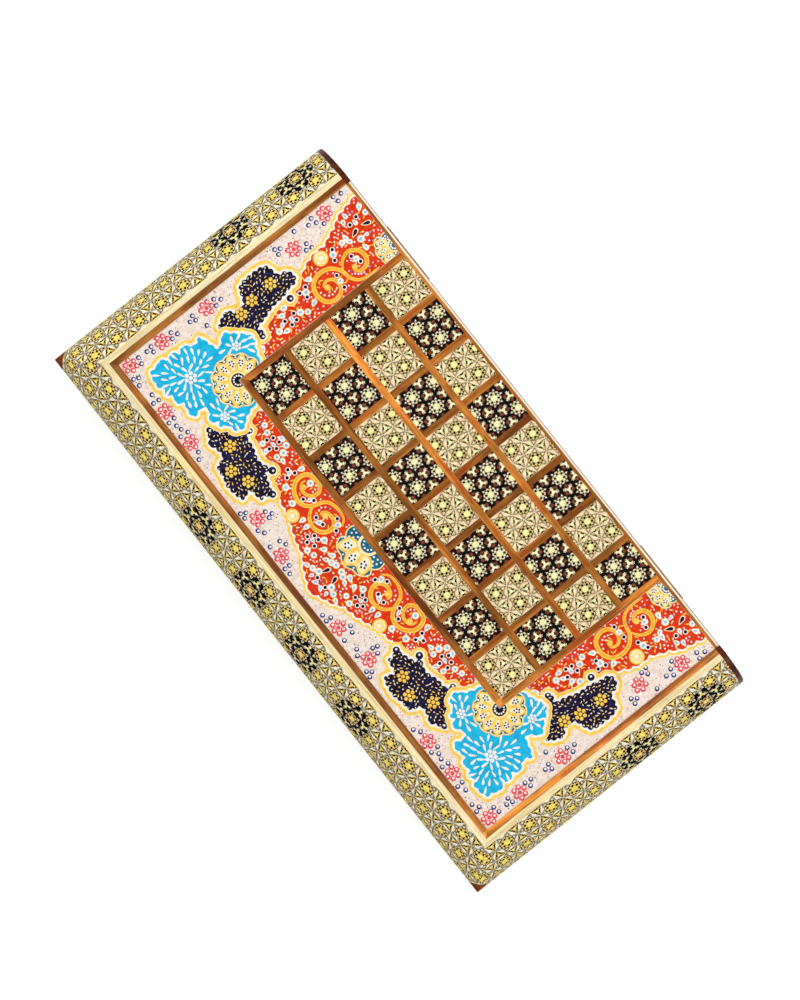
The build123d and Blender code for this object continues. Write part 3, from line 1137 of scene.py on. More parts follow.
# Curls and knobs have their radius as a third value, and drops have their lean. A knob's rings stand out from
# it, and each coat of a drop has its width, its reach back and its reach ahead
CURLS = ((-182.8, 71.5, 4.6), (-50.5, -59.5, 4.2))
KNOBS = (
    (-174.0, 36.5, 2.6), (-85.0, -50.5, 2.8), (-71.5, -61.0, 2.6), (-136.0, -68.0, 2.2), (-165.0, 4.0, 2.3),
    (-117.5, -45.5, 2.2),
)
KNOB_RINGS = ((Tint.CREAM, 3.2), (Tint.GOLD, 2.8), (Tint.CREAM, 1.2), (Tint.WHITE, 0.8), (Tint.NAVY, 0.0))
GOLD_FLOWERS = ((-191.0, 32.0), (-187.0, 2.0), (-117.5, -63.5), (-89.5, -69.0), (-190.0, 14.0), (-103.0, -74.0))
EYES: Path = (
    (-182.6, 82), (-175.4, 78.6), (-170.4, 89.8), (-163.4, 92.8), (-166, 73), (-156, 72), (-173.6, 50.2),
    (-167, 46.7), (-172.5, 44.2), (-164, 31.8), (-159, 30.6), (-158.2, 25.8), (-163.4, 23.3), (-98, -34),
    (-103, -35.5), (-95.5, -38.3), (-98.5, -42.5), (-104.5, -40), (-73.6, -39), (-78.5, -41.5), (-74.3, -45.5),
    (-29.5, -56), (-25.5, -55.5), (-32, -60.3), (-23.6, -60.6), (-29, -63), (-49.5, -40.5), (-55, -46),
    (-28.8, -35.5), (-22.5, -41.5), (-39, -46.8), (-32, -46.2), (-4.5, -73), (-190.6, 110), (-188.6, 103),
)
BLOBS: Path = (
    (-194.5, 116), (-189, 117.5), (-188, 107), (-176, 108), (-176, 103), (-169.5, 102), (-196, 104), (-192.5, 100),
    (-183.5, 94.5), (-179.5, 95), (-182, 90.5), (-179.4, 80.2), (-166.8, 91), (-161.2, 72.5), (-176.5, 55),
    (-170.2, 48), (-160.7, 47.8), (-158.5, 40.5), (-161.5, 36), (-171.7, 28.5), (-168, 23.5), (-161.3, 28),
    (-162, 19.8), (-157, 19.8), (-160, 15.5), (-157.5, -1.5), (-99, -31), (-99.5, -38.5), (-104.5, -44), (-93, -31.5),
    (-90, -36.5), (-90.5, -42), (-85.3, -40.3), (-98.3, -46), (-73, -33.8), (-75.8, -42.3), (-114, -34.5),
    (-108.5, -36.5), (-60.8, -34.8), (-51.8, -43.3), (-25.2, -38.3), (-35, -47.8), (-69.5, -50.5), (-57.5, -54),
    (-43.5, -56), (-38, -57), (-22.5, -52.5), (-17.8, -57), (-27.6, -59), (-24.3, -66.6), (-18.7, -65), (-10.7, -55),
    (-11, -60.3), (-6.5, -58.3), (-3.1, -56.9), (-7.3, -69.5), (-17, -73.3), (-12, -71.5), (-8.5, -75.5),
    (-3.1, -76.3),
)
PEARLS: Path = (
    (-158.9, 84.3), (-157.2, 86), (-156.1, 87.7), (-155.6, 89.9), (-157.8, 64.6), (-157.2, 62.2), (-158, 59.6),
    (-160.3, 57.3), (-163.3, 56.2), (-57, -32.8), (-55.2, -34.8), (-54.8, -37.2), (-40.6, -37), (-42.2, -39.5),
    (-41.6, -42), (-78, -49.7), (-76.4, -51.6), (-74, -52), (-86.5, -31), (-84.3, -32.5), (-82.7, -34.6),
    (-81.5, -37), (-188.6, 92), (-188.6, 88.6), (-186, 86.6), (-194.5, 107.5), (-177.5, 116.5), (-175, 114),
    (-177, 98), (-64, -51), (-61.5, -52), (-67, -48.5), (-33, -64), (-31.5, -66.2), (-14.6, -61.6), (-13.2, -63.8),
    (-13.8, -66.2), (-152.8, 46), (-152.6, 42), (-152.8, 38.5), (-152.6, 12), (-153, 8.6), (-165.5, 16), (-165, 13),
    (-163.6, 10.4),
)
NAVY_DROPS = ((-182.3, 113.2, 0.35), (-182.0, 102.4, -0.5), (-4.6, -64.8, 0.3))
DROP_COATS = ((Tint.AMBER, 5.8, 4.6, 4.0), (Tint.WHITE, 4.8, 4.0, 3.4), (Tint.NAVY, 3.7, 3.2, 2.8))
BLUE_RINGS = (
    (-210.5, 112), (-207.5, 107), (-212, 106), (-201, 89), (-209.7, 84), (-205, 85), (-207, 79.5), (-197.5, 70),
    (-193, 71.5), (-194, 67), (-210, 68.5), (-206.5, 53), (-208.5, 49.5), (-204, 49.5), (-204.5, -3), (-207.8, -7),
    (-203, -8.5), (-196, -22.5), (-208, -26.5), (-204, -26.5), (-205.5, -30.5), (-204.5, -43), (-208, -46),
    (-204, -48), (-209, -63.5), (-205, -64.5), (-208, -68), (-208.5, -75.5), (-203.7, -76.5), (-197, -84.5),
    (-198.5, -88), (-192.5, -87.5), (-181.5, -84.5), (-175.5, -83), (-176, -87.5), (-158.5, -82.5), (-158, -87.5),
    (-153, -84.5), (-149, -83.5), (-144.5, -81), (-145, -87), (-128.5, -84), (-124, -87), (-61, -70), (-65, -73),
    (-60, -73.5), (-73, -84.5), (-75, -88), (-70.5, -87.5), (-57.5, -85.5), (-53.5, -83), (-42, -78), (-37.5, -76),
    (-43, -86), (-24, -83.5), (-24, -87.5), (-19, -87),
)
ROSE_CLUSTERS = (
    (-206.5, 94), (-200, 60.5), (-206, -15), (-207, -55), (-207.5, -83.5), (-166, -84.5), (-137, -84),
    (-64.5, -80.5), (-33, -83.5),
)

# Each palmette's heart, the radii of its rings of leaves, and the reach of its flower
PALMETTES = (
    ((-173.5, -55.0), (7.4, 13.2, 19.0, 24.8, 30.6), 3.4),
    ((-136.5, -53.0), (6.0, 11.4), 2.6),
    ((-171.0, -15.0), (5.8, 11.0), 2.5),
)

# On a rosette's petal: out along its axis in radii of the rosette, and aside in half widths of the petal
PETAL: Path = (
    (0.36, 0.0), (0.42, 0.5), (0.62, 0.86), (0.82, 0.55), (0.98, 0.0), (0.82, -0.55), (0.62, -0.86), (0.42, -0.5)
)
PETAL_MIDDLE = 0.67
PETAL_DOTS: Path = ((0.56, 0.0), (0.65, 0.28), (0.65, -0.28), (0.75, 0.2), (0.75, -0.2))
BARE_DOTS: Path = ((0.42, 0.0), (0.54, 0.3), (0.54, -0.3), (0.66, 0.5), (0.66, 0.0), (0.66, -0.5))
SPREAD_DOTS: Path = ((0.88, 0.75), (0.78, 0.6), (0.69, 0.5))


@dataclass(frozen=True)
class Edging:
    """A field's edge: length and depth of its lobes, and how far its gold band and white line stand out."""

    lobe: float
    depth: float
    band: float
    line: float


RED_EDGING = Edging(7.0, 1.6, 3.4, 1.0)
NAVY_EDGING = Edging(5.0, 1.5, 4.3, 1.3)
TURQUOISE_EDGING = Edging(6.0, 1.2, 4.2, 1.3)


class Bed(Enum):
    """How many coats lie beneath each part of the ornament."""

    GROUND = 0
    RED_FIELDS = 2
    CARTOUCHES = 15
    PALMETTES = 23
    ROSETTES = 31


def heading(angle: Union[float, np.ndarray]) -> np.ndarray:
    """Unit vectors at angles counted from X."""
    return np.stack([np.cos(angle), np.sin(angle)], -1)


def circle(middle: Sequence[float], radius: float, count: int, turn: float = 0.0) -> np.ndarray:
    """Places evenly round a circle, the first one at an angle from X."""
    return np.asarray(middle, float) + radius * heading(turn + np.arange(count) * (2 * math.pi / count))


def beside(path: np.ndarray, closed: bool) -> np.ndarray:
    """Unit vectors to the left of a path at each of its places."""
    ahead = np.roll(path, -1, 0) - np.roll(path, 1, 0) if closed else np.gradient(path, axis=0)
    return np.stack([-ahead[:, 1], ahead[:, 0]], -1) / (np.linalg.norm(ahead, axis=1)[:, None] + 1e-9)


def outward(edge: np.ndarray, closed: bool) -> np.ndarray:
    """Unit vectors out of the area that an edge goes round; a straight line closes an open edge.

    Args:
        edge: Places along the edge.
        closed: Whether it comes back to its start.

    Returns:
        A vector for each place.
    """
    around = np.cross(edge[:-1], edge[1:]).sum() + np.cross(edge[-1], edge[0])
    return beside(edge, closed) * -np.sign(around)


def flowing(points: Path, closed: bool = False, steps: int = 5) -> np.ndarray:
    """Draws a smooth curve through points: a cubic on each stretch, level with its neighbours at the points.

    The slope at a point is half the step from the point before it to the point after it.

    Args:
        points: Places that the curve goes through.
        closed: Whether it comes back to its start.
        steps: Places drawn on each stretch.

    Returns:
        The places along the curve.
    """
    p = np.asarray(points, float)
    if closed:
        a, b, c, d = np.roll(p, 1, 0), p, np.roll(p, -1, 0), np.roll(p, -2, 0)
    else:
        ends = np.concatenate([2 * p[:1] - p[1:2], p, 2 * p[-1:] - p[-2:-1]])
        a, b, c, d = ends[:-3], ends[1:-2], ends[2:-1], ends[3:]
    t = np.linspace(0.0, 1.0, steps, endpoint=False)[None, :, None]
    a, b, c, d = (part[:, None, :] for part in (a, b, c, d))
    curve = 0.5 * (2 * b + (c - a) * t + (2 * a - 5 * b + 4 * c - d) * t**2 + (3 * b - a - 3 * c + d) * t**3)
    curve = curve.reshape(-1, 2)
    return curve if closed else np.concatenate([curve, p[-1:]])


def lobed(path: np.ndarray, closed: bool, edging: Edging) -> np.ndarray:
    """Turns a smooth edge into a row of lobes, which swell out and meet in cusps.

    Each place moves outwards by depth times the absolute sine of its distance along the edge.

    Args:
        path: Places along the edge.
        closed: Whether the edge comes back to its start.
        edging: The size of its lobes.

    Returns:
        A denser edge with its lobes.
    """
    ring = np.concatenate([path, path[:1]]) if closed else path
    step = np.linalg.norm(np.diff(ring, axis=0), axis=1)
    length = np.append(0.0, np.cumsum(step))
    count = max(2, round(length[-1] / edging.lobe))
    share = np.linspace(0.0, length[-1], count * 8 + 1)
    spot = np.stack([np.interp(share, length, ring[:, axis]) for axis in (0, 1)], -1)
    swell = edging.depth * (np.abs(np.sin(math.pi * share / length[-1] * count)) - 0.5)
    spot = spot + outward(spot, False) * swell[:, None]
    return spot[:-1] if closed else spot


def grown(edge: np.ndarray, closed: bool, reach: float) -> np.ndarray:
    """Moves an edge outwards and drops the places that then lie nearer to it than that distance.

    Args:
        edge: Places along the edge, close together.
        closed: Whether the edge comes back to its start.
        reach: How far it moves.

    Returns:
        The places of the outer edge, without loops at the cusps.
    """
    moved = edge + outward(edge, closed) * reach
    return moved[gap_to(edge, moved) > reach * 0.985]


def inside(outline: np.ndarray, places: np.ndarray) -> np.ndarray:
    """Tells which places lie inside an outline, by counting its crossings of a level line from each place.

    Args:
        outline: Corners of the outline.
        places: Places to test.

    Returns:
        True for each place inside.
    """
    x0, y0 = outline[:, 0], outline[:, 1]
    x1, y1 = np.roll(x0, -1), np.roll(y0, -1)
    px, py = places[:, :1], places[:, 1:]
    spans = (y0 > py) != (y1 > py)
    rise = np.where(y1 == y0, 1.0, y1 - y0)
    return (np.sum(spans & (px < x0 + (py - y0) * (x1 - x0) / rise), axis=1) % 2) == 1


def gap_to(outline: np.ndarray, places: np.ndarray) -> np.ndarray:
    """Distance from each place to the nearest corner of an outline.

    Args:
        outline: Corners of the outline.
        places: Places to measure from.

    Returns:
        One distance for each place.
    """
    return np.sqrt(((places[:, None, :] - outline[None, :, :]) ** 2).sum(-1)).min(1)


class Brush:
    """Lays paint on the outer face as closed slabs a few hundredths of a millimetre thick, one over another.

    Slabs that follow each other differ in height by a fraction of a coat, so that they can overlap.
    """

    floor: float = -0.03
    coat: float = 0.007
    shift: float = 0.17
    shifts: int = 5
    darts: int = 1600

    def __init__(self, half: Half) -> None:
        """Starts with an empty layer of each paint for that half."""
        self.bed = Bed.GROUND
        self.laid = 0
        self.mirrored = True
        self.layers = {tint: Solid(f"{half.value}_{tint.label}_paint") for tint in Tint}

    def trim(self, places: np.ndarray) -> np.ndarray:
        """Moves places onto the painted panel: within its edges and out of the chess field.

        Args:
            places: Places in two columns.

        Returns:
            The same places, those outside the panel moved to its nearest edge.
        """
        x = np.clip(places[..., 0], -SIZE.paint_half_width, SIZE.paint_half_width)
        y = np.clip(places[..., 1], SIZE.paint_front, SIZE.paint_back)
        deep_x, deep_y = SIZE.field_half_width - np.abs(x), y - SIZE.field_front
        within = (deep_x > 0) & (deep_y > 0)
        side = within & (deep_x < deep_y)
        x = np.where(side, np.sign(x) * SIZE.field_half_width, x)
        y = np.where(within & ~side, SIZE.field_front, y)
        return np.stack([x, y], -1)

    def lay(self, tint: Tint, sections: np.ndarray, level: float, faces: list[list[int]]) -> None:
        """Adds a slab and its mirror image, whose vertices come as one row on top and the same row beneath.

        Args:
            tint: The paint.
            sections: Places of the row.
            level: How many coats lie beneath, above the bed.
            faces: Faces over both rows.
        """
        bottom = SIZE.panel_level + self.floor
        for side in (1.0, -1.0) if self.mirrored else (1.0,):
            self.laid = (self.laid + 1) % self.shifts
            top = SIZE.panel_level + (self.bed.value + level + 1 + self.laid * self.shift) * self.coat
            flat = self.trim(sections * np.array([side, 1.0]))
            rows = [np.column_stack([flat, np.full(len(flat), z)]) for z in (top, bottom)]
            self.layers[tint].add(np.concatenate(rows), faces)

    def fill(self, tint: Tint, outline: np.ndarray, level: float) -> None:
        """Fills an outline.

        Args:
            tint: The paint.
            outline: Its corners.
            level: How many coats lie beneath, above the bed.
        """
        n = len(outline)
        sides = [[i, (i + 1) % n, (i + 1) % n + n, i + n] for i in range(n)]
        self.lay(tint, outline, level, [list(range(n))[::-1], list(range(n, 2 * n)), *sides])

    def stroke(
        self, tint: Tint, path: np.ndarray, width: float, level: float, closed: bool = False, taper: float = 0.0
    ) -> None:
        """Draws a line of some width: two rows beside the path, a flat top between them and walls down.

        Args:
            tint: The paint.
            path: Places along the middle of the line.
            width: Width of the line.
            level: How many coats lie beneath, above the bed.
            closed: Whether the line comes back to its start.
            taper: Share of the width that is lost at both ends.
        """
        n = len(path)
        half = width / 2 * (1 - taper + taper * np.sin(math.pi * np.linspace(0.0, 1.0, n)) ** 0.6)
        reach = beside(path, closed) * half[:, None]
        here = np.arange(n if closed else n - 1)
        there = (here + 1) % n
        quads = [(here, there, there + n, here + n), (here + 2 * n, here + 3 * n, there + 3 * n, there + 2 * n)]
        quads += [(here, here + 2 * n, there + 2 * n, there), (here + n, there + n, there + 3 * n, here + 3 * n)]
        faces = np.concatenate([np.stack(q, -1) for q in quads]).tolist()
        if not closed:
            faces += [[0, n, 3 * n, 2 * n], [n - 1, 3 * n - 1, 4 * n - 1, 2 * n - 1]]
        self.lay(tint, np.concatenate([path + reach, path - reach]), level, faces)

    def dot(self, tint: Tint, middle: Sequence[float], radius: float, level: float, corners: int = 10) -> None:
        """Fills a small disc."""
        self.fill(tint, circle(middle, radius, corners), level)

    def nest(self, middle: Sequence[float], level: float, corners: int, *discs: tuple[Tint, float]) -> None:
        """Fills discs about one middle, each with its paint and radius, from a level upwards."""
        for above, (tint, radius) in enumerate(discs):
            self.dot(tint, middle, radius, level + above, corners)

    def drop(
        self,
        tint: Tint,
        place: np.ndarray,
        way: np.ndarray,
        width: float,
        level: float,
        back: float = 1.0,
        ahead: float = 1.0,
    ) -> None:
        """Fills a teardrop from a narrow root to a round tip; its half width is a sine that leans to the tip.

        Args:
            tint: The paint.
            place: A place on its axis.
            way: Direction from root to tip.
            width: Its rough width.
            level: How many coats lie beneath, above the bed.
            back: Distance from the place to the root, in lengths of the direction.
            ahead: Distance from the place to the tip, likewise.
        """
        start, end = place - way * back, place + way * ahead
        run = end - start
        angle = np.linspace(0.0, 2 * math.pi, 12, endpoint=False)
        along = 0.5 - 0.5 * np.cos(angle)
        aside = np.sin(angle) * (0.25 + 0.75 * along) * width / 2
        across = np.array([-run[1], run[0]]) / (np.linalg.norm(run) + 1e-9)
        self.fill(tint, start + along[:, None] * run + aside[:, None] * across, level)

    def framed(self, tint: Tint, edge: np.ndarray, edging: Edging, corners: Path = ()) -> None:
        """Fills a field with a gold band and a white line round its free edge.

        Args:
            tint: The field's paint.
            edge: Its free edge.
            edging: How far the band and the line stand out from the field.
            corners: Corners that close the field against the chess field; with none the edge closes itself.
        """
        closed = len(corners) == 0
        bands = (
            (Tint.CREAM, edging.band), (Tint.GOLD, edging.band - 0.5), (Tint.CREAM, edging.line + 0.6),
            (Tint.WHITE, edging.line), (tint, 0.0),
        )
        for level, (paint, stand_out) in enumerate(bands):
            outline = grown(edge, closed, stand_out) if stand_out else edge
            self.fill(paint, outline if closed else np.concatenate([outline, np.asarray(corners, float)]), level)

    def scatter(self, outline: np.ndarray, apart: float, margin: float, seed: int, keep_off: np.ndarray) -> np.ndarray:
        """Chooses places inside an outline, no two nearer than a distance, by dropping random darts.

        Args:
            outline: The outline that they lie in.
            apart: Least distance between two places.
            margin: Least distance to the outline.
            seed: Seed of the random draw.
            keep_off: Places that are taken, with the reach of each as a third column.

        Returns:
            The chosen places.
        """
        rng = np.random.default_rng(seed)
        darts = rng.uniform(outline.min(0), outline.max(0), (self.darts, 2))
        darts = darts[inside(outline, darts) & (gap_to(outline, darts) > margin)]
        far = np.sqrt(((darts[:, None, :] - keep_off[None, :, :2]) ** 2).sum(-1)) > keep_off[None, :, 2]
        chosen: list[np.ndarray] = []
        for dart in darts[far.all(1)]:
            if all(np.hypot(*(dart - other)) > apart for other in chosen):
                chosen.append(dart)
        return np.array(chosen).reshape(-1, 2)


@dataclass(frozen=True)
class Rosette:
    """Part of a rosette: its centre, its radius, and the petals between two angles in degrees.

    In a bare one the first and the last petal are left out, so that the teal ground shows.
    """

    middle: tuple[float, float]
    reach: float
    low: float
    high: float
    petals: int
    bare: bool = False

    @property
    def step(self) -> float:
        """Angle from one petal to the next."""
        return math.radians(self.high - self.low) / self.petals

    def out(self, angle: Union[float, np.ndarray], share: Union[float, np.ndarray]) -> np.ndarray:
        """Places at angles from the centre, as far out as a share of the radius."""
        return np.array(self.middle) + np.asarray(share * self.reach)[..., None] * heading(angle)

    def on_petal(self, turn: float, places: Path) -> list[np.ndarray]:
        """Finds places on the petal at an angle.

        Args:
            turn: The angle of the petal's axis.
            places: For each place, out along the axis in radii and aside in half widths of the petal.

        Returns:
            The places on the board.
        """
        wide, way = self.reach * math.sin(self.step / 2) * 0.9, heading(turn)
        aside = np.array([-way[1], way[0]])
        return [np.array(self.middle) + way * self.reach * a + aside * wide * b for a, b in places]

    def petal(self, brush: Brush, turn: float) -> None:
        """Draws one petal: cream with a gold edge, a white middle and black dots.

        Args:
            brush: The brush that paints it.
            turn: The angle of the petal's axis.
        """
        petal = flowing(self.on_petal(turn, PETAL), closed=True, steps=3)
        brush.fill(Tint.CREAM, petal, 3)
        brush.stroke(Tint.GOLD, petal, self.reach * 0.07, 4, closed=True)
        half_size = [(PETAL_MIDDLE + (a - PETAL_MIDDLE) * 0.5, b * 0.5) for a, b in PETAL]
        brush.fill(Tint.WHITE, flowing(self.on_petal(turn, half_size), closed=True, steps=2), 4)
        for place in self.on_petal(turn, PETAL_DOTS):
            brush.dot(Tint.BLACK, place, self.reach * 0.037, 5, 7)

    def paint(self, brush: Brush) -> None:
        """Draws a teal ground with an amber and cream rim, the petals, and a ringed heart with dots.

        Args:
            brush: The brush that paints it.
        """
        low, high = math.radians(self.low), math.radians(self.high)
        middle = np.array([self.middle])
        angle = np.linspace(low, high, 64)
        lobes = 0.92 + 0.08 * np.abs(np.sin((angle - low) / (high - low) * math.pi * self.petals))
        ends = np.minimum(angle - low, high - angle) < self.step
        rim = self.out(angle, np.where(ends & self.bare, lobes * 0.8, lobes))
        brush.stroke(Tint.AMBER, rim, 2.2, 0)
        brush.stroke(Tint.CREAM, rim, 1.5, 1)
        brush.fill(Tint.TEAL, np.concatenate([rim, middle]), 2)
        turns = [low + self.step * (k + 0.5) for k in range(self.petals)]
        for k, turn in enumerate(turns):
            if self.bare and k in (0, self.petals - 1):
                for place in self.on_petal(turn, BARE_DOTS):
                    brush.dot(Tint.WHITE, place, 0.8, 5, 8)
                continue
            self.petal(brush, turn)
            if k:
                for share, size in SPREAD_DOTS:
                    brush.dot(Tint.WHITE, self.out(turn - self.step / 2, share), size, 5, 7)
        arc = np.linspace(low, high, 30)
        brush.fill(Tint.CREAM if self.bare else Tint.GOLD, np.concatenate([self.out(arc, 0.36), middle]), 5)
        brush.stroke(Tint.CREAM, self.out(arc, 0.31), 1.0, 6)
        brush.fill(Tint.TEAL if self.bare else Tint.BLACK, np.concatenate([self.out(arc, 0.27), middle]), 7)
        for turn in turns:
            brush.dot(Tint.WHITE, self.out(turn, 0.18), 0.75, 8, 7)


CORNER_ROSETTE = Rosette((-151.0, -29.3), 19.0, 88, 362, 9)
HINGE_SIDE_ROSETTE = Rosette((-157.5, 119.0), 14.0, 170, 350, 5, bare=True)
FRONT_ROSETTE = Rosette((0.0, -29.0), 23.0, 180, 360, 5, bare=True)


@dataclass
class PaintedBorder:
    """The painted ornament round the chess field: red fields with spirals, navy cartouches, turquoise corners.

    Leaf pitch is the distance between leaves round a palmette, leaf margin how far they keep from its edge, and
    rosette gap how far they keep from the corner rosette.
    """

    half: Half
    finishes: dict[Tint, bpy.types.Material]
    leaf_pitch: float = 4.6
    leaf_margin: float = 2.0
    rosette_gap: float = 2.5

    def __post_init__(self) -> None:
        """Takes up a fresh brush."""
        self.brush = Brush(self.half)

    def build(self) -> None:
        """Paints every field and motif, then makes one piece of each paint."""
        self.ground_motifs()
        self.brush.bed = Bed.RED_FIELDS
        self.red_fields()
        self.brush.bed = Bed.CARTOUCHES
        self.navy_cartouches()
        self.brush.bed = Bed.PALMETTES
        self.turquoise_corners()
        self.brush.bed = Bed.ROSETTES
        CORNER_ROSETTE.paint(self.brush)
        HINGE_SIDE_ROSETTE.paint(self.brush)
        self.brush.mirrored = False
        FRONT_ROSETTE.paint(self.brush)
        for tint, solid in self.brush.layers.items():
            piece = solid.make(self.half)
            piece.data.materials.append(self.finishes[tint])
            log.info("painted %s, %d faces", piece.name, len(solid.faces))

    def ground_motifs(self) -> None:
        """Blue rings, and clusters of rose rings round a rose dot, on the ground."""

        def ringlet(tint: Tint, place: np.ndarray, radius: float) -> None:
            """A disc with a white dot a little off its middle."""
            self.brush.dot(tint, place, radius, 0, 12)
            self.brush.dot(Tint.WHITE, place + (0.25, 0.3), 0.95, 1, 8)

        for place in np.array(BLUE_RINGS):
            ringlet(Tint.BLUE, place, 1.85)
        for place in np.array(ROSE_CLUSTERS):
            for k, way in enumerate(circle((0.0, 0.0), 1.0, 6, place[0])):
                ringlet(Tint.ROSE, place + (3.9 + 0.5 * (k % 2)) * way, 2.1)
            self.brush.dot(Tint.ROSE, place, 1.6, 0)

    def red_fields(self) -> None:
        """The red fields beside and in front of the chess field, with all that lies on them."""
        side = lobed(flowing(RED_SIDE_EDGE), False, RED_EDGING)
        self.brush.framed(Tint.RED, side, RED_EDGING, RED_SIDE_CORNERS)
        left = lobed(flowing(RED_FRONT_EDGE), False, RED_EDGING)
        front = np.concatenate([left, left[-2::-1] * np.array([-1.0, 1.0])])
        self.brush.mirrored = False
        self.brush.framed(Tint.RED, front, RED_EDGING, RED_FRONT_CORNERS)
        self.brush.mirrored = True
        self.curls_and_scrolls()
        rng = np.random.default_rng(5)
        self.blobs_and_drops(rng)
        whole = np.concatenate([side, RED_SIDE_CORNERS])
        half_front = np.concatenate([left, [(0.0, SIZE.field_front)]])
        self.flecks(rng, {11: whole, 12: half_front})

    def curls_and_scrolls(self) -> None:
        """Gold curls at the red fields' edge, and tapering gold spirals with a round heart."""
        for x, y, reach in CURLS:
            self.brush.nest((x, y), 5, 20, (Tint.GOLD, reach + 1.1), (Tint.CREAM, reach - 0.1))
            self.brush.stroke(Tint.GOLD, circle((x, y), reach * 0.58, 14), 0.7, 7, closed=True)
            self.brush.dot(Tint.WHITE, (x, y), reach * 0.28, 7)
        for scroll, heart in zip(SCROLLS, SCROLL_HEARTS):
            path = flowing(scroll)
            self.brush.stroke(Tint.GOLD, path, 3.3, 6, taper=0.75)
            self.brush.stroke(Tint.AMBER, path, 1.5, 7, taper=0.75)
            self.brush.dot(Tint.GOLD, heart, 2.2, 8)

    def blobs_and_drops(self, rng: np.random.Generator) -> None:
        """White blobs with a blue middle, some round and some pointed, then eyes, navy drops and pearls.

        Args:
            rng: Draws the size, direction and kind of each blob.
        """
        for place in np.array(BLOBS):
            reach, way = rng.uniform(2.0, 2.6), heading(rng.uniform(0.0, math.pi))
            if rng.random() < 0.5:
                discs = (Tint.CREAM, reach + 0.35), (Tint.WHITE, reach - 0.2), (Tint.SKY, reach * 0.5)
                self.brush.nest(place, 8, 10, *discs)
                continue
            if rng.random() < 0.75:
                self.brush.drop(Tint.CREAM, place, way, reach * 2.5, 8, reach + 0.7, reach + 0.6)
            self.brush.drop(Tint.WHITE, place, way, reach * 2.0, 9, reach + 0.2, reach)
            self.brush.drop(Tint.SKY, place, way, reach * 0.95, 10, reach * 0.6, reach * 0.6)
        for place in EYES:
            self.brush.dot(Tint.WHITE, place, 1.95, 11)
            self.brush.dot(Tint.BLACK, place, 1.3, 12, 9)
        for x, y, lean in NAVY_DROPS:
            place, way = np.array([x, y]), heading(math.pi / 2 - lean)
            for level, (tint, width, back, ahead) in enumerate(DROP_COATS, start=8):
                self.brush.drop(tint, place, way, width, level, back, ahead)
        for place in PEARLS:
            self.brush.dot(Tint.WHITE, place, 0.75, 9, 8)

    def flecks(self, rng: np.random.Generator, fields: dict[int, np.ndarray]) -> None:
        """Small dots and dashes in what is left of the red fields.

        Args:
            rng: Draws the direction of each dash.
            fields: Outline of each field, by the seed of its places.
        """
        taken = [(*p, 2.9) for p in BLOBS + EYES] + [(*p, 1.9) for p in PEARLS]
        taken += [(x, y, 4.6) for x, y, _ in NAVY_DROPS] + [(x, y, reach + 2.4) for x, y, reach in CURLS]
        taken += [(*p, 2.6) for scroll in SCROLLS for p in flowing(scroll, steps=2)]
        keep_off = np.array(taken)
        for seed, outline in fields.items():
            places = self.brush.scatter(outline, apart=2.3, margin=1.3, seed=seed, keep_off=keep_off)
            for k, place in enumerate(places):
                if k % 6 == 0:
                    self.brush.dot(Tint.SKY, place, 0.7, 6, 8)
                elif k % 6 < 3:
                    self.brush.dot(Tint.WHITE, place, 0.65, 6, 7)
                else:
                    way = heading(rng.uniform(0.0, 2 * math.pi)) * 1.6
                    self.brush.drop(Tint.GOLD if k % 2 else Tint.CREAM, place, way, 1.4, 6)

    def navy_cartouches(self) -> None:
        """The dark cartouches on the short sides and in front, with flecks, gold flowers and knobs in their bands."""
        taken = np.array([(*p, 4.9) for p in GOLD_FLOWERS])
        for seed, points in ((21, NAVY_SIDE), (22, NAVY_FRONT)):
            edge = lobed(flowing(points, closed=True), True, NAVY_EDGING)
            self.brush.framed(Tint.NAVY, edge, NAVY_EDGING)
            middle = edge.mean(0)
            rng = np.random.default_rng(seed)
            for place in self.brush.scatter(edge, apart=2.15, margin=0.8, seed=seed, keep_off=taken):
                turn = math.atan2(*(place - middle)[::-1]) + rng.uniform(-1.3, 1.3)
                way = heading(turn) * rng.uniform(0.6, 1.35)
                pick = rng.random()
                tint = Tint.GOLD if pick < 0.25 else Tint.BLUE if pick < 0.33 else Tint.CREAM
                self.brush.drop(tint, place, way, rng.uniform(0.9, 1.4), 6)
        for x, y, reach in KNOBS:
            self.brush.nest((x, y), 0, 18, *((tint, reach + more) for tint, more in KNOB_RINGS))
            self.brush.dot(Tint.WHITE, (x + 0.5, y + 0.4), 0.85, 5, 8)
        for place in GOLD_FLOWERS:
            self.bead_flower(Tint.GOLD, Tint.BLACK, place, 3.3, 1.45)

    def bead_flower(self, bead: Tint, under: Tint, middle: Sequence[float], reach: float, radius: float) -> None:
        """A flower of six round beads about a middle bead, each on a wider disc of another paint.

        Args:
            bead: Paint of the beads.
            under: Paint of the discs under them.
            middle: Place of the middle bead.
            reach: Distance of the ring of beads from it.
            radius: Radius of a bead.
        """
        for place in (middle, *circle(middle, reach, 6, 0.4)):
            self.brush.nest(place, 6, 9, (under, radius + 0.35), (bead, radius))

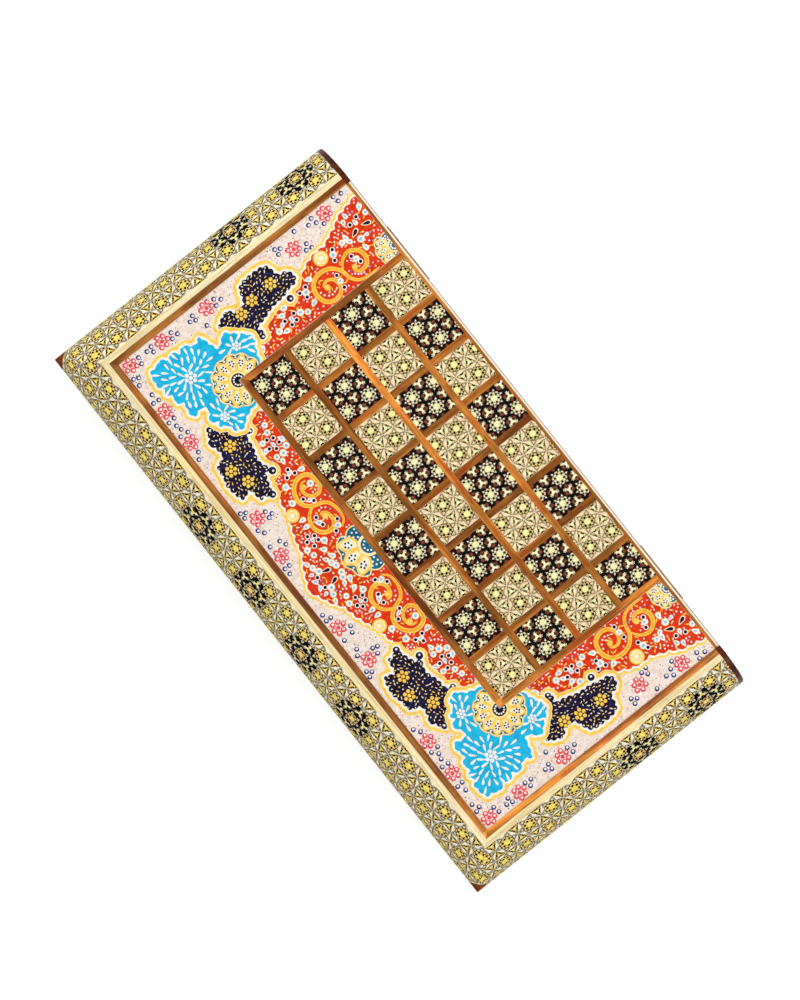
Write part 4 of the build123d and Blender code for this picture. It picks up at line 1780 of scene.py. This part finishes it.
    def turquoise_corners(self) -> None:
        """The turquoise palmettes at the corners, with white leaves that spread from flowers.

        A leaf is drawn where it lies in the field, is nearest to its own palmette's heart and is clear of the
        corner rosette.
        """
        edge = lobed(flowing(TURQUOISE_CORNER), False, TURQUOISE_EDGING)
        self.brush.framed(Tint.TURQUOISE, edge, TURQUOISE_EDGING, TURQUOISE_CORNERS)
        whole = np.concatenate([edge, TURQUOISE_CORNERS])
        hearts = np.array([heart for heart, _, _ in PALMETTES])
        rng = np.random.default_rng(9)
        for heart, rings, _ in PALMETTES:
            for number, radius in enumerate(rings):
                count = round(2 * math.pi * radius / self.leaf_pitch)
                way = heading((np.arange(count) + 0.5 * (number % 2)) * (2 * math.pi / count))
                spots = heart + way * radius
                near = np.argmin(((spots[:, None, :] - hearts[None]) ** 2).sum(-1), 1)
                good = inside(whole, spots) & (gap_to(edge, spots) > self.leaf_margin)
                good &= (hearts[near] == heart).all(1)
                good &= np.hypot(*(spots - CORNER_ROSETTE.middle).T) > CORNER_ROSETTE.reach + self.rosette_gap
                for spot, out in zip(spots[good], way[good]):
                    lean = out + np.array([-out[1], out[0]]) * rng.uniform(-0.55, 0.55)
                    reach = rng.uniform(2.4, 3.3)
                    self.brush.drop(Tint.WHITE, spot, lean * reach, rng.uniform(2.2, 2.9), 6)
        for heart, _, reach in PALMETTES:
            self.bead_flower(Tint.WHITE, Tint.TURQUOISE, heart, reach, reach * 0.46)


@dataclass(frozen=True)
class PaintFinish:
    """Brushed opaque paint under the gloss lacquer: streaks of its darker shade and a few thin places."""

    tint: Tint
    gloss: float = 0.2
    relief: float = 0.00006

    def make(self, shop: Workshop) -> bpy.types.Material:
        """Builds the paint.

        Args:
            shop: The shared node groups.

        Returns:
            The material.
        """
        label, light, dark = self.tint.value
        made, g = fresh_material(f"{label} paint")
        place = g.place()
        x, y, z = g.split(place)
        streaks = g.noise(g.join(x * 0.3 + y * 0.3, y - x, z), 700.0, 4.0, 0.6, 1.0)
        pools = g.noise(place, 210.0, 3.0)
        wear = g.spread(streaks * 0.55 + pools * 0.45, 0.42, 0.62)
        colour = g.mix(wear, tone(light), tone(dark))
        shop.material(label, colour, self.gloss, streaks, self.relief)
        return made


Finish = Union[WoodFinish, StarFinish, GroundFinish, BrassFinish]

WALNUT = WoodFinish("walnut", "D08434", "7C4010", "2A1206", patches=0.4, flame=0.6)
DARK_WALNUT = WoodFinish("dark walnut x", "6A3018", "38160A", "120604", coat=0.12, shine=0.1)
TIMBER = WoodFinish("plain timber x", "C9A274", "A97F52", "5E4126", coat=0.0, gloss=0.5)
# The walnut slips' gains paint light: the right slip lighter is a painted highlight, the left and front slips darker
# are painted shade
SLIP_PAINTED_HIGHLIGHT_AND_SHADE = ((0, 213.2, 218.5, 1.65), (0, -218.5, -213.2, 0.75), (1, -96.0, -89.0, 0.9))
BORDER_GAINS = ((0, 145.0, 151.0, 1.7), (0, -151.0, -145.0, 1.45))

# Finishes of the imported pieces, by the piece's name without its half
FINISHES: dict[str, Finish] = {
    "front_rail": TIMBER,
    "side_rail": replace(TIMBER, name="plain timber y", run=Run.Y),
    "base_board": WoodFinish("plywood", "D6B27C", "BE9660", "7A5630", coat=0.0, gloss=0.6),
    "hinge_rail": DARK_WALNUT,
    "corner_caps": WoodFinish(
        "dark walnut caps", "9A5428", "62300F", "1E0A04", Run.FRAME, coat=0.0, shine=0.0, seams=True
    ),
    "end_caps": replace(DARK_WALNUT, name="dark walnut y", run=Run.Y),
    "ivory_slips": WoodFinish(
        "pale boxwood", "FCEBBE", "F6DDA0", "C9A060", Run.FRAME, contrast=0.7, patches=0.04, seams=True
    ),
    "walnut_slips": replace(WALNUT, name="walnut slips", run=Run.FRAME, coat=0.5, seams=True, gains=SLIP_PAINTED_HIGHLIGHT_AND_SHADE),
    # The lipping's pale line is a painted highlight on its rounded hinge edge, and the dark line outside it is painted
    # shade
    "hinge_lipping": replace(
        WALNUT, name="walnut lipping", lines=((121.3, 122.6, "FBEAD6"), (122.6, 124.0, "50342A"))
    ),
    "grid_border": replace(WALNUT, name="walnut border", run=Run.FRAME, gains=BORDER_GAINS),
    "grid_long_strips": replace(WALNUT, name="walnut long strips", gains=((1, 42.0, 52.0, 1.75),)),
    "grid_cross_strips": replace(WALNUT, name="walnut cross strips", run=Run.Y),
    "wall_linings": WoodFinish("lining walnut", "A96A34", "7C4820", "3A1C0A", Run.FRAME, gloss=0.35),
    "field_ground": WoodFinish("field walnut", "9A5A2C", "5C2E12", "2A1206", gloss=0.3, contrast=1.4),
    "painted_panel": GroundFinish(),
    "light_squares": StarFinish("light squares", LIGHT_STARS, layout=Layout.SQUARES),
    "dark_squares": StarFinish("dark squares", DARK_STARS, layout=Layout.SQUARES),
    "mouth_khatam": StarFinish("mouth khatam", RIM_STARS, 15.0, Layout.FRAME),
    "light_points": StarFinish("light points", LIGHT_STARS, 12.0),
    "dark_points": StarFinish("dark points", DARK_STARS, 12.0),
    "field_medallion": StarFinish("field medallion", MEDALLION_STARS, 16.0),
    "leaf": BrassFinish("hinge brass"),
    "screws": BrassFinish("screw brass", "CFA052", "8F6A30", 0.28),
}


@dataclass
class Joinery:
    """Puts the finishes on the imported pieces."""

    shop: Workshop

    def finish_of(self, node: str) -> str:
        """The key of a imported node's finish.

        Args:
            node: The node's name.

        Returns:
            Its key among the finishes.
        """
        tail = node.split("_", 1)[1]
        if node.endswith(("_leaf", "_pin")):
            return "leaf"
        if tail == "hinge_screws":
            return "screws"
        if tail in ("left_rail", "right_rail"):
            return "side_rail"
        return tail

    def dress(self) -> None:
        """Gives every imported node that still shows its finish."""
        made: dict[str, bpy.types.Material] = {}
        for name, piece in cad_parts.items():
            key = self.finish_of(name)
            if "khatam_rim" in key:
                continue
            if key not in made:
                made[key] = FINISHES[key].make(self.shop)
            for slot in piece.material_slots:
                slot.material = made[key]
            log.info("dressed %s", name)


@dataclass
class Lamp:
    """A soft rectangular lamp aimed at the board."""

    name: str
    place: tuple[float, float, float]
    size: tuple[float, float]
    power: float
    aim_height: float = 0.08

    def make(self) -> None:
        """Hangs the lamp with its face towards the middle of the board."""
        data = bpy.data.lights.new(self.name, "AREA")
        data.shape = "RECTANGLE"
        data.size, data.size_y = self.size
        data.energy = self.power
        lamp = bpy.data.objects.new(self.name, data)
        bpy.context.scene.collection.objects.link(lamp)
        lamp.location = self.place
        aim = Vector((0.0, 0.0, self.aim_height)) - Vector(self.place)
        lamp.rotation_euler = aim.to_track_quat("-Z", "Y").to_euler()


LAMPS = (
    Lamp("left softbox", (-1.8, 0.7, 1.6), (1.5, 0.8), 24.0),
    Lamp("hinge side softbox", (0.2, 1.9, 1.05), (2.2, 1.0), 26.0),
    Lamp("right fill", (2.2, -0.3, 1.5), (1.6, 1.2), 15.0),
    Lamp("front fill", (-0.3, -2.3, 1.3), (1.8, 1.0), 13.5),
)


@dataclass
class Studio:
    """White floor, white surroundings, soft lamps and the camera straight above the board."""

    camera_place: tuple[float, float, float] = (-0.0113, 0.0082, 1.732)
    camera_turn: float = 51.55
    lens: float = 82.6
    sensor: float = 36.0
    ambient: float = 0.5
    horizon: float = 0.55
    overhead: float = 0.07
    dark_above: float = 0.6
    floor_size: float = 8.0
    floor_greys: tuple[float, float] = (0.53, 0.57)
    floor_glow: float = 0.66

    def build(self) -> None:
        """Makes the camera, the floor, the world and the lamps."""
        scene = bpy.context.scene
        scene.view_settings.view_transform = "Standard"
        data = bpy.data.cameras.new("overhead camera")
        data.lens = self.lens
        data.sensor_width = self.sensor
        camera = bpy.data.objects.new("overhead camera", data)
        camera.location = self.camera_place
        camera.rotation_euler = Euler((0.0, 0.0, math.radians(self.camera_turn)))
        scene.collection.objects.link(camera)
        scene.camera = camera
        self.floor()
        self.world()
        for lamp in LAMPS:
            lamp.make()
        log.info("studio ready")

    def floor(self) -> None:
        """A white floor that shows the shadow, and a little brighter to the camera alone."""
        half = self.floor_size / 2
        mesh = bpy.data.meshes.new("floor")
        corners = np.array([(-half, -half, 0), (half, -half, 0), (half, half, 0), (-half, half, 0)])
        mesh.from_pydata(corners, [], [(0, 1, 2, 3)])
        floor = bpy.data.objects.new("floor", mesh)
        bpy.context.scene.collection.objects.link(floor)
        made, g = fresh_material("floor")
        greys = [(grey, grey, grey, 1.0) for grey in self.floor_greys]
        paper = g.node("BsdfDiffuse", {"Color": g.mix(g.noise(g.place(), 3.0, 2.0), *greys)})
        strength = g.out(g.node("LightPath"), "Is Camera Ray") * self.floor_glow
        glow = g.node("Emission", {"Color": (1.0, 1.0, 1.0, 1.0), "Strength": strength})
        both = g.node("AddShader")
        output = g.tree.nodes.new("ShaderNodeOutputMaterial")
        for source, target in ((paper, both.inputs[0]), (glow, both.inputs[1]), (both, output.inputs[0])):
            g.tree.links.new(source.outputs[0], target)
        mesh.materials.append(made)

    def world(self) -> None:
        """White to the camera, dim to the board, and for reflections white at the horizon and dark overhead."""
        world = bpy.data.worlds.new("studio")
        world.use_nodes = True
        bpy.context.scene.world = world
        world.node_tree.nodes.clear()
        g = Graph(world.node_tree)
        path = g.node("LightPath")
        up = g.split(g.out(g.node("TexCoord"), "Generated"))[2]
        shine = g.spread(up, 0.0, self.dark_above, self.horizon, self.overhead)
        glossy = g.out(path, "Is Glossy Ray")
        strength = self.ambient + glossy * (shine - self.ambient)
        seen = g.math("MAXIMUM", g.out(path, "Is Camera Ray"), g.out(path, "Is Transmission Ray"))
        strength = strength + seen * (1.0 - strength)
        light = g.node("Background", {"Color": (1.0, 1.0, 1.0, 1.0), "Strength": strength})
        output = g.tree.nodes.new("ShaderNodeOutputWorld")
        g.tree.links.new(light.outputs[0], output.inputs[0])


def main() -> None:
    """Builds the studio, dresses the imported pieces, and adds the inlaid rims and the painting."""
    logging.basicConfig(level=logging.INFO, format="%(name)s: %(message)s")
    shop = Workshop()
    Studio().build()
    Joinery(shop).dress()
    rim = RimFinish().make(shop)
    paints = {tint: PaintFinish(tint).make(shop) for tint in Tint}
    for half in Half:
        KhatamRims(half).build(rim)
        PaintedBorder(half, paints).build()


if __name__ == "__main__":
    main()
